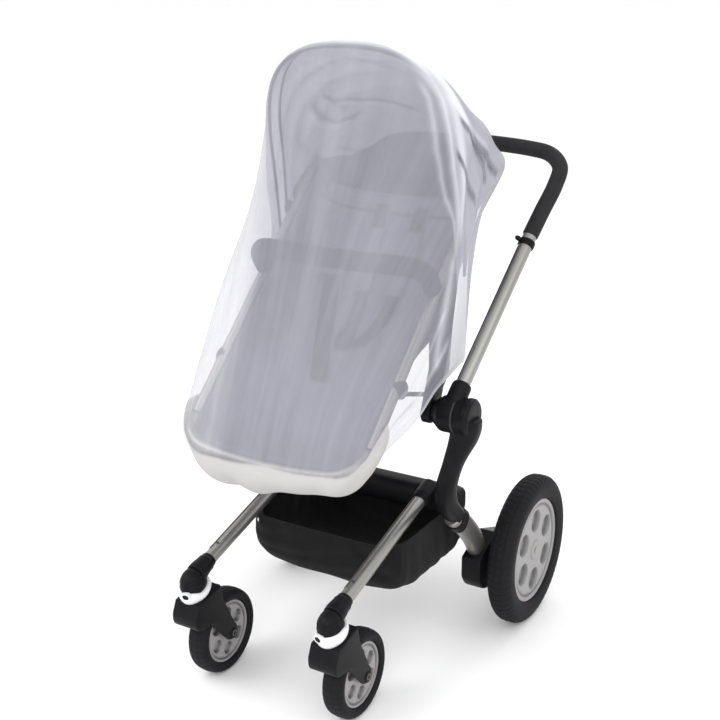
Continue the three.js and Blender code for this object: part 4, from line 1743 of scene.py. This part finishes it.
@dataclass
class Net:
    """The mosquito net, from its hem under the foot end over the hood and down behind it."""

    cloth: Sheet = field(default_factory=lambda: Sheet(NET_ROWS))
    along: int = 330
    over: int = 260
    cover_front: float = 0.49
    cover_hood: float = 0.23
    cover_right: float = 0.05
    cover_hem: float = 0.3
    cover_band: float = 0.97
    bright_front: float = 0.04
    # Painted light on the net over the hood and on its right part outside the hood; the hems are paler for
    # their doubled cloth.
    painted_light_hood: float = 0.12
    painted_light_right: float = 0.6
    bright_hem: float = 0.5
    folds: tuple[Fold, ...] = (
        Fold(9.2, 0.42, 5.0, 0.62, 0.08, 7), Fold(9.6, 0.62, 5.6, 0.8, 0.08, 6),
        Fold(11.8, 0.4, 7.4, 0.74, 0.09, 6), Fold(12.4, 0.62, 8.2, 0.9, 0.08, 6),
        Fold(8.2, -0.5, 3.2, -0.58, 0.07, 8), Fold(9.4, -0.66, 4.6, -0.82, 0.07, 8),
        Fold(11.8, -0.46, 8.0, -0.8, 0.07, 8), Fold(8.0, -0.22, 2.6, -0.32, 0.08, 6),
        Fold(7.4, 0.1, 3.0, 0.02, 0.08, 5), Fold(7.6, 0.32, 2.6, 0.36, 0.07, 7),
        Fold(3.0, 0.62, 1.2, 0.5, 0.08, 8), Fold(2.8, -0.44, 0.8, -0.34, 0.1, 10),
    )
    tugs: tuple[tuple[float, float, float, float], ...] = (
        (1.0, -0.1, 0.13, 10), (1.0, -0.4, 0.14, 5), (1.2, 0.35, 0.18, -6),
    )
    band_edge: tuple[tuple[float, float], ...] = (
        (-1.0, 3.2), (-0.66, 2.7), (-0.6, 2.3), (-0.53, 2.18), (-0.37, 2.23), (0.06, 2.48), (0.405, 2.27),
        (0.515, 2.18), (0.575, 2.2), (0.62, 2.3), (0.67, 2.5), (0.71, 2.85), (0.75, 3.1), (0.82, 3.0),
        (0.9, 2.7), (1.0, 2.4),
    )
    hood_edge: tuple[tuple[float, float], ...] = (
        (-1.0, 5.0), (-0.8, 6.6), (-0.53, 7.0), (-0.3, 7.8), (-0.1, 8.25), (0.095, 8.3), (0.2, 8.0),
        (0.295, 7.73), (0.37, 7.2), (0.415, 6.95), (0.53, 6.73), (0.61, 6.6), (0.8, 6.4), (1.0, 5.4),
    )
    # Each stroke's last number is painted light: a painted highlight above 0, a painted shadow line below 0.
    strokes: tuple[Stroke, ...] = (
        Stroke((
            (8.6, 0.06), (8.35, 0.1), (8.1, 0.17), (7.85, 0.24), (7.73, 0.295), (7.5, 0.33), (7.2, 0.37),
            (6.95, 0.415), (6.75, 0.5), (6.6, 0.58), (6.4, 0.7),
        ), 13, 0.2, 0.4),
        Stroke((
            (7.75, 0.2), (7.5, 0.26), (6.83, 0.33), (6.55, 0.385), (6.43, 0.435), (6.5, 0.52), (6.4, 0.62),
        ), 7, 0.14, 0.4),
        Stroke(((7.3, 0.405), (7.48, 0.43), (7.8, 0.495), (8.3, 0.57), (8.72, 0.64)), 7, -0.5, -1.3),
        Stroke(((8.1, 0.37), (8.6, 0.43), (9.03, 0.51), (9.93, 0.72)), 7, -0.5, -1.1),
        Stroke(((8.9, 0.46), (9.25, 0.52), (9.8, 0.6), (10.6, 0.75)), 9, -0.5, -1.0),
        Stroke(((7.9, 0.3), (8.5, 0.38), (9.2, 0.47), (10.1, 0.62)), 9, 0.1, 0.25),
        Stroke(((6.5, 0.62), (6.0, 0.7), (5.4, 0.82), (5.0, 0.92)), 22, 0.2, 0.55),
        Stroke(((6.1, 0.86), (5.2, 0.9), (4.2, 0.9), (3.4, 0.86), (2.9, 0.76)), 9, 0.2, 0.35),
        Stroke(((5.9, 0.74), (5.0, 0.8), (4.0, 0.8), (3.2, 0.72)), 6, 0.15, 0.2),
        Stroke(((7.2, 0.02), (6.0, 0.03), (4.8, 0.05), (3.5, 0.03)), 14, 0.03, 0.05),
        Stroke(((6.9, -0.3), (5.9, -0.36), (4.6, -0.45), (3.3, -0.52)), 16, 0.03, 0.08),
        Stroke(((1.6, 0.86), (2.4, 0.88), (3.05, 0.9), (3.7, 0.93), (4.4, 0.96)), 7, 0.3, 0.7),
        Stroke(((1.7, 0.78), (2.6, 0.8), (3.4, 0.85), (4.2, 0.9)), 5, 0.12, -0.3),
        Stroke(((5.4, -0.6), (4.6, -0.62), (3.6, -0.66), (2.9, -0.66)), 16, 0.12, 0.4),
        Stroke((
            (8.25, -0.5), (8.25, -0.2), (8.22, 0.0), (8.3, 0.2), (8.5, 0.36), (8.7, 0.5),
        ), 22, 0.38, 0.9),
        Stroke((
            (8.4, 0.1), (8.25, 0.26), (8.0, 0.38), (7.6, 0.48), (7.1, 0.56), (6.7, 0.62),
        ), 30, 0.26, 0.4),
    )

    def plain(self, t: Array, v: Array) -> Array:
        """The cloth before its folds, with the hem drawn down at its tugs.

        Args:
            t: The stations.
            v: The shares across.

        Returns:
            Stations by places by 3.
        """
        grid = self.cloth.points(t, v)
        for at, beside, wide, down in self.tugs:
            grid[..., 2] -= down * bump(t, at, 0.9)[:, None] * bump(v, beside, wide)[None]
        return grid

    def between(self, first: Array, last: float, v: Array, rows: int) -> tuple[Array, Array, Array]:
        """The plain cloth between two stations, of which the first may differ from column to column.

        Each column is read off the cloth's own column, evenly between its two ends.

        Args:
            first: The first station of each column.
            last: The last station.
            v: The columns' shares across.
            rows: How many rows there are.

        Returns:
            The points, and the station and share of each.
        """
        tt = first + (last - first) * np.linspace(0, 1, rows)[:, None]
        vv = np.broadcast_to(v, tt.shape)
        fine = np.linspace(float(first.min()) - 0.1, last + 0.1, 420)
        plain = self.plain(fine, v)
        grid = np.empty((*tt.shape, 3))
        for j in range(len(v)):
            for k in range(3):
                grid[:, j, k] = np.interp(tt[:, j], fine, plain[:, j, k])
        return grid, tt, vv

    def band(self, t: Array, v: Array) -> Array:
        """The doubled cloth below the rail at the feet.

        Args:
            t: The station of each place.
            v: The share across of each place.

        Returns:
            1 in it, and from 1 to 0 over its edge.
        """
        places, heights = np.array(self.band_edge).T
        line = np.interp(v, places, heights)
        return 1 - ease(t - line, -0.1, 0.06)

    def flank(self, t: Array, v: Array) -> Array:
        """The cloth on the outside of the hood's left side and behind it, where it lies on the hood.

        Args:
            t: The station of each place.
            v: The share across of each place.

        Returns:
            1 in it, and from 0 to 1 over its edge.
        """
        places, heights = np.array(self.hood_edge).T
        line = np.interp(v, places, heights)
        return ease(t - line, -0.05, 0.1)

    def looks(self, t: Array, v: Array) -> dict[str, Array]:
        """How much of the view the cloth covers, how pale it is with its hems and painted light, and how
        warm it is, at each place.

        It is thin in front. It covers more over the hood, at its hems and where a stroke of gathered threads
        runs, and nearly all below the rail at the feet. Painted light makes it paler over the hood, on its
        right part and along some strokes, painted shadow darkens it along others, and the band's right end
        is painted lighter.

        Args:
            t: The station of each place.
            v: The share across of each place.

        Returns:
            The values by their names.
        """
        edge = np.minimum(t, self.cloth.last - t)
        hem = np.maximum(1 - ease(edge, 0.1, 0.2), 1 - ease(1 - np.abs(v), 0.01, 0.025))
        band, flank = self.band(t, v), self.flank(t, v)
        # Painted light on the right part of the net, outside the hood.
        right = ease(-v, 0.2, 0.32) * (1 - flank)
        cover = self.cover_front + self.cover_hood * flank - self.cover_right * right
        bright = self.bright_front + self.painted_light_hood * flank + self.painted_light_right * right
        for stroke in self.strokes:
            near = stroke.nearness(t, v)
            cover = cover + stroke.cover * near
            bright = bright + stroke.bright * near
        cover = cover + self.cover_hem * hem
        # The hems are paler too, for their doubled cloth.
        bright = bright + self.bright_hem * hem
        cover = np.clip(cover, 0.3, 0.93)
        # Painted light on the band's right end, where it is taken from its warm tone.
        band_painted_light = 0.8 * ease(-v, 0.35, 0.62) * band
        return {
            "cover": np.maximum(cover, self.cover_band * band),
            "bright": np.clip(bright, 0, 1) * (1 - band) + band_painted_light,
            "warm": band - band_painted_light,
        }

    def build(self) -> None:
        """Lay the net, raise its folds and give it its looks."""
        t = np.linspace(0, self.cloth.last, self.along)
        v = np.linspace(-1, 1, self.over)
        grid = self.plain(t, v)
        tt, vv = np.meshgrid(t, v, indexing="ij")
        height = sum(f.height(tt, vv) for f in self.folds)
        height = height + sum(1.6 * max(s.cover, 0) * s.nearness(tt, vv) for s in self.strokes)
        looks = self.looks(tt, vv)
        swag = 1.2 * np.sin(19 * vv + 2 * tt) * looks["warm"]
        form = Form().grid(lifted(grid, height + swag - 0.75), **looks)
        piece = show("net_cloth", form.mesh("net cloth", closed=False), NETTING, ["net"], 80)
        width, length, area = lengths("net", grid)


@dataclass
class Hood:
    """The hood's cloth, stretched just inside the net from the hoop back to behind the seat."""

    net: Net
    thick: float = 3.0
    first: float = 27 * 13 / 44
    last: float = 42 * 13 / 44
    reach: float = 14 / 18
    front_edge: tuple[tuple[float, float], ...] = (
        (-0.78, 8.95), (-0.705, 8.95), (-0.555, 8.9), (-0.4, 8.66), (-0.27, 8.45), (-0.175, 8.3),
        (-0.06, 8.0), (0.0, 7.98), (0.8, 7.98),
    )
    # Creases of the hood: a value below 0 is a painted shade line, and a value above 0 is a painted
    # highlight.
    creases: tuple[Stroke, ...] = (
        Stroke((
            (9.6, -0.38), (9.73, -0.405), (10.18, -0.48), (10.7, -0.5), (10.85, -0.435), (10.78, -0.33),
        ), 8, 0, -1.0),
        Stroke(((9.5, -0.41), (9.68, -0.44), (10.15, -0.52), (10.75, -0.54), (10.95, -0.45)), 8, 0, 0.7),
        Stroke((
            (10.0, -0.37), (10.2, -0.335), (10.53, -0.285), (10.7, -0.205), (10.9, -0.115), (11.15, 0.01),
        ), 8, 0, -1.0),
        Stroke(((10.1, -0.41), (10.34, -0.36), (10.66, -0.3), (10.82, -0.2), (11.0, -0.1)), 8, 0, 0.7),
        Stroke(((9.73, -0.35), (10.05, -0.36), (10.48, -0.38), (10.6, -0.42)), 6, 0, -0.8),
        Stroke(((11.3, -0.68), (11.5, -0.69), (11.88, -0.705), (11.95, -0.635)), 8, 0, -0.8),
        Stroke(((9.4, -0.5), (9.8, -0.6), (10.1, -0.66), (10.5, -0.7)), 10, 0, -0.5),
        Stroke(((9.0, -0.1), (9.4, -0.02), (9.8, 0.1), (10.1, 0.22)), 10, 0, -0.4),
        Stroke(((8.0, 0.36), (8.6, 0.43), (9.03, 0.51), (9.93, 0.72)), 7, 0, -1.0),
        Stroke(((8.0, 0.52), (8.3, 0.57), (8.72, 0.64), (9.2, 0.75)), 8, 0, -1.0),
        Stroke(((8.9, 0.46), (9.25, 0.52), (9.8, 0.6), (10.6, 0.75)), 8, 0, -1.0),
    )

    def wrinkles(self, t: Array, v: Array) -> Array:
        """Loose folds in the roof of the hood's right half, and soft waves.

        Args:
            t: The station of each place.
            v: The share across of each place.

        Returns:
            How far the cloth sags in, in millimetres.
        """
        waves = 0.5 + 0.5 * np.sin(26 * v + 3 * t) * np.sin(2.2 * t)
        loose = bump(t, 9.7 + 0.5 * v, 0.16) + 0.8 * bump(t, 9.2 + 0.8 * v, 0.13)
        loose = loose + 0.7 * bump(t, 10.3 + 0.4 * v, 0.15)
        return 1.1 * waves + 9.0 * loose * bump(v, -0.3, 0.34)

    def build(self) -> None:
        """Lay the hood a little inside the net, bind its front edge and run the hoop's line along the net.

        Its front edge runs along the hoop, and on the right it keeps further back and straight down to the
        hinge. Creases sink it a little and carry painted shade and painted highlights, and its outer face is
        painted darker towards the sides as shade.
        """
        v = np.linspace(-self.reach, self.reach, 170)
        first = np.interp(v, *np.array(self.front_edge).T)
        grid, tt, vv = self.net.between(first, self.last, v, 170)
        # Painted shade and painted highlights along the creases.
        tint = sum(crease.bright * crease.nearness(tt, vv) for crease in self.creases)
        depth = 2.9 + (self.wrinkles(tt, vv) + 2.5 * np.clip(-tint, 0, 1)) * ease(tt - first, 0, 0.3)
        grid = lifted(grid, -depth)
        # The outer face is also painted darker towards both sides, as shade.
        shade = tint - 0.45 * ease(np.abs(vv), 0.3, 0.42)
        form = Form().grid(walled(grid, self.thick), tint=around(shade, tint))
        piece = show("hood_cloth", form.mesh("hood cloth"), HOOD_CLOTH_PAINTED_LIGHT, ["hood_fabric"], 60)
        width, length, area = lengths("hood", grid)
        rim = Route(grid[2] - outward(grid)[2] * 1.6, 1200)
        welt = sweep(rim, oval(2.6, 2.6, 14), (0, -0.5, 0.87), 160, 1.0)
        show_solid("hood_welt", WEBBING, welt)
        v = np.linspace(-self.reach, self.reach, 150)
        hoop = lifted(self.net.plain(np.linspace(self.first - 0.06, self.first + 0.06, 5), v), -5.0)[2]
        line = sweep(Route(hoop, 1200), oval(2.8, 2.8, 14), (0, -0.5, 0.87), 160, 1.0)
        show_solid("hood_hoop", PLASTIC, line)


SEAT_ROWS = (
    (212, 868, 0.985), (165, 790, 0.88), (118, 716, 0.74), (74, 655, 0.6), (10, 622, 0.5),
    (-62, 606, 0.4), (-118, 574, 0.3), (-176, 520, 0.17), (-228, 488, 0.07), (-255, 481, 0.02),
)


@dataclass
class Seat:
    """The padded sling between the side tubes, with its harness and the strap up to the bumper bar."""

    frame: SeatFrame
    net: Net
    width: float = 173.7
    gusset_path: tuple = ((176, 84, 832), (177, 150, 889), (174, 182, 885), (150, 214, 884), (132, 234, 884))

    def cloth(self) -> Sheet:
        """The sling's table: each row hangs from the side tubes down to its middle.

        Returns:
            The cloth.
        """
        foot, head = np.array(self.frame.foot), np.array(self.frame.head)
        rows = []
        for y, z, share in SEAT_ROWS:
            ey, ez = foot + (head - foot) * share
            rows.append((y, z, (y + ey) / 2, (z + ez) / 2, ey, ez, self.width, self.width, 3.0))
        return Sheet(rows)

    def sling(self) -> None:
        """The sling with quilted channels across it and along it, its puff fading out at its edges."""
        sheet = self.cloth()
        t = np.linspace(0, sheet.last, 150)
        v = np.linspace(-1, 1, 120)
        tt, vv = np.meshgrid(t, v, indexing="ij")
        channels = bump(tt % 1.0, 0.5, 0.06) + bump(np.abs(vv), 0.5, 0.014)
        puff = 1.6 * (1 - np.clip(channels, 0, 1)) * ease(1 - np.abs(vv), 0.02, 0.1)
        grid = lifted(sheet.points(t, v), puff - 1.8)
        # Painted shade: the sling darkens towards its foot end.
        form = Form().grid(walled(grid, 2.2), tint=around(-0.6 * ease(tt, 7.2, 8.4)))
        piece = show("seat_cloth", form.mesh("seat cloth"), LINING, ["seat_fabric"], 60)
        width, length, area = lengths("seat", grid)

    def back_panel(self) -> None:
        """The cloth at the back, painted dark as shade: down inside the hood, then forward to the sling's
        top edge.

        The first rows follow the hood's own table, further in than its cloth. The others are a
        smooth blend from there to the sling's first row, sagging a little on the way.
        """
        v = np.linspace(-0.92, 0.92, 90)
        first = 11.75 + 0.25 * ease(np.abs(v), 0.35, 0.6)
        upper = lifted(self.net.between(first, 12.36, v, 24)[0], -8.4)
        start = upper[-1]
        end = self.cloth().points(np.array([0.55]), v / 0.92 * 0.97)[0] + np.array([0, -4.6, 4.4])
        share = ease(np.linspace(0, 1, 30), 0, 1)[1:, None, None]
        sag = 14 * np.sin(math.pi * share) * np.array([0, 0, -1.0])
        lower = start + (end - start) * share + sag
        grid = np.concatenate([upper, lower])
        piece = show_solid("back_panel_cloth", BACK_CLOTH_PAINTED_SHADE, walled(grid, 2.0), sharp=60)
        width, length, area = lengths("back panel", grid)

    def gussets(self) -> None:
        """The cloth on each side between the hood's lower edge and the top of the side tube, painted dark as
        shade.
        """
        for side in Side:
            t = np.linspace(9.7, 12.36, 50)
            upper = lifted(self.net.plain(t, side.value * np.array([0.70, 0.72, 0.74])), -8.6)[:, 1]
            lower = Route(on_side(self.gusset_path, side))
            lower_line = lower.at(np.linspace(0, lower.length, 50))
            share = np.linspace(0, 1, 16)[None, :, None]
            grid = upper[:, None] + (lower_line - upper)[:, None] * share
            piece = show_solid(f"hood_gusset_{side.label}", BACK_CLOTH_PAINTED_SHADE, walled(grid, 1.5), sharp=60)
            width, length, area = lengths("gusset", grid)

    def foot_liner(self) -> None:
        """The cloth between the sling's lower edge and the rail at the feet, sagging a little, in a darker
        copy of the lining as painted shade.
        """
        route = Route(across(self.frame.rail_path, self.frame.rail_centre))
        v = np.linspace(-0.99, 0.99, 90)
        near = self.cloth().points(np.array([self.cloth().last - 0.1]), v)[0] + np.array([0, 0, 2.5])
        far = route.at((1 - v) / 2 * route.length) + np.array([0, -3.0, 12.0])
        share = np.linspace(0, 1, 16)[:, None, None]
        grid = near + (far - near) * share - 5 * np.sin(math.pi * share) * np.array([0, 0, 1.0])
        piece = show_solid("foot_liner_cloth", FOOT_CLOTH_PAINTED_SHADE, walled(grid, 2.0), sharp=60)
        width, length, area = lengths("foot liner", grid)

    def belts(self) -> None:
        """Two shoulder belts down the sling to a buckle over the strap, with a pad on each."""
        sheet = self.cloth()
        for side in Side:
            t = np.linspace(0.35, 4.3, 24)
            v = side.value * (0.2 - 0.03 * t)
            line = np.array([sheet.points(np.array([a]), np.array([b]))[0, 0] for a, b in zip(t, v)])
            normal = np.array([0, -0.75, 0.66])
            route = Route(line + 5.2 * normal)
            belt = sweep(route, oval(1.2, 13.5, 32, 5.0), (1, 0, 0), 90, 0.8)
            piece = show_solid(f"shoulder_belt_{side.label}", WEBBING, belt)
            pad = Route(line[3:13] + 8.5 * normal)
            points = sweep(pad, oval(3.6, 19, 40, 3.4), (1, 0, 0), 40, 3.0)
            piece = show_solid(f"belt_pad_{side.label}", LINING, points)
        centre = sheet.points(np.array([4.35]), np.array([0.0]))[0, 0] + np.array([0, -7, 13.0])
        corners = [(0, 0), (17, 0), (20, 3), (20, 8), (16, 11), (0, 11.5)]
        buckle = lathe(corners, 2.0, centre, (0, -0.6, 0.8), 40, (1.0, 1.2))
        show_solid("harness_buckle", PLASTIC, buckle)

    def strap(self) -> None:
        """The webbing in the middle, from the bumper bar down to the seat."""
        route = Route([(0, -70, 768), (0, -90, 690), (0, -122, 580)])
        points = sweep(route, oval(2.0, 17.8, 40, 5.0), (1, 0, 0), 60, 1.0)
        piece = show_solid("crotch_strap_webbing", WEBBING, points, node="crotch_strap")

    def build(self) -> None:
        """Make the seat."""
        self.sling()
        self.back_panel()
        self.gussets()
        self.foot_liner()
        self.belts()
        self.strap()


BASKET_ROWS = (
    (-104, 268, -106, 280, 140), (-102, 206, -98, 281, 160), (-80, 166, -70, 286, 170),
    (0, 153, 0, 289.5, 173), (80, 152, 80, 290.5, 173), (140, 158, 140, 290, 170),
    (170, 205, 168, 290, 160), (180, 280, 178, 290, 140),
)


@dataclass
class Basket:
    """The black canvas tray under the seat."""

    def build(self) -> None:
        """Lay the tray with soft folds that fade out at its edge, and set a snap at its front corner."""
        rows = []
        for my, mz, ey, ez, side in BASKET_ROWS:
            rows.append((my, mz, (my + ey) / 2, (mz + ez) / 2, ey, ez, side, side, 3.4))
        sheet = Sheet(rows)
        t = np.linspace(0, sheet.last, 120)
        v = np.linspace(-1, 1, 140)
        tt, vv = np.meshgrid(t, v, indexing="ij")
        beside = 1.2 * np.sin(17 * vv - 2.4 * tt) * bump(np.abs(vv), 0.55, 0.25)
        folds = 1.6 * np.sin(9 * tt + 7 * vv) * np.sin(2.1 * tt) + beside
        rim = ease(1 - np.abs(vv), 0.0, 0.12) * ease(np.minimum(tt, sheet.last - tt), 0.0, 0.5)
        grid = lifted(sheet.points(t, v), folds * rim - 1.0)
        piece = show_solid("basket_cloth", CANVAS, walled(grid, 1.6), node="basket", sharp=60)
        width, length, area = lengths("basket", grid)
        snap = [(0, -4), (5.5, -4), (5.5, 2.6), (4, 3.4), (0, 3.6)]
        show_solid("basket_snaps", WHITE, lathe(snap, 0.6, (-150, -104, 258), (0, -1, 0), 24))


# Studio


@dataclass
class Studio:
    """The pale floor, the soft lights and the photograph's camera."""

    eye: tuple[float, float, float] = (1129, -1876, 1289)
    aim: tuple[float, float, float] = (17.7, 0, 588)
    lens: float = 60.3

    def camera(self) -> None:
        """Stand the camera where the photograph was taken."""
        data = bpy.data.cameras.new("camera")
        data.lens = self.lens
        data.sensor_width = 36
        data.clip_end = 100
        camera = bpy.data.objects.new("camera", data)
        eye, aim = place([self.eye, self.aim])
        camera.location = eye
        camera.rotation_euler = Vector(aim - eye).to_track_quat("-Z", "Y").to_euler()
        bpy.context.collection.objects.link(camera)
        bpy.context.scene.camera = camera

    def lights(self) -> None:
        """A large soft light above on each side, and a white room."""
        for name, where, size, power in (
            ("key", (-1.8, -2.2, 3.0), 2.4, 50),
            ("fill", (2.8, -1.0, 2.4), 2.6, 20),
            ("back", (0.4, 2.6, 2.8), 2.2, 18),
            ("front", (1.1, -2.4, 2.0), 1.4, 20),
        ):
            data = bpy.data.lights.new(name, "AREA")
            data.size = size
            data.energy = power
            light = bpy.data.objects.new(name, data)
            light.location = where
            towards = Vector((-where[0], -where[1], 0.6 - where[2]))
            light.rotation_euler = towards.to_track_quat("-Z", "Y").to_euler()
            bpy.context.collection.objects.link(light)
        world = bpy.data.worlds.new("room")
        world.use_nodes = True
        world.node_tree.nodes["Background"].inputs["Color"].default_value = (1.0, 1.0, 1.0, 1.0)
        world.node_tree.nodes["Background"].inputs["Strength"].default_value = 1.0
        bpy.context.scene.world = world
        bpy.context.scene.view_settings.view_transform = "Standard"

    def floor(self) -> None:
        """A wide plain floor under the wheels."""
        mesh = bpy.data.meshes.new("floor")
        mesh.from_pydata([(-60, -60, 0), (60, -60, 0), (60, 60, 0), (-60, 60, 0)], [], [(0, 1, 2, 3)])
        mesh.materials.append(Floor("white", "floor").material())
        floor = bpy.data.objects.new("floor", mesh)
        bpy.context.collection.objects.link(floor)

    def build(self) -> None:
        """Set the studio up."""
        self.camera()
        self.lights()
        self.floor()


def main() -> None:
    """Build the studio and then the stroller, piece by piece."""
    Studio().build()
    for side in Side:
        Wheel("front", side, 149, -242, 83, 43, 62, 40, True).build()
        Wheel("rear", side, 275.5, 242, 155, 52, 109, 64, False).build()
        Caster(side).build()
    Chassis().build()
    Handle().build()
    seat_frame = SeatFrame()
    seat_frame.build()
    net = Net()
    net.build()
    Hood(net).build()
    Seat(seat_frame, net).build()
    Basket().build()


if __name__ == "__main__":
    main()
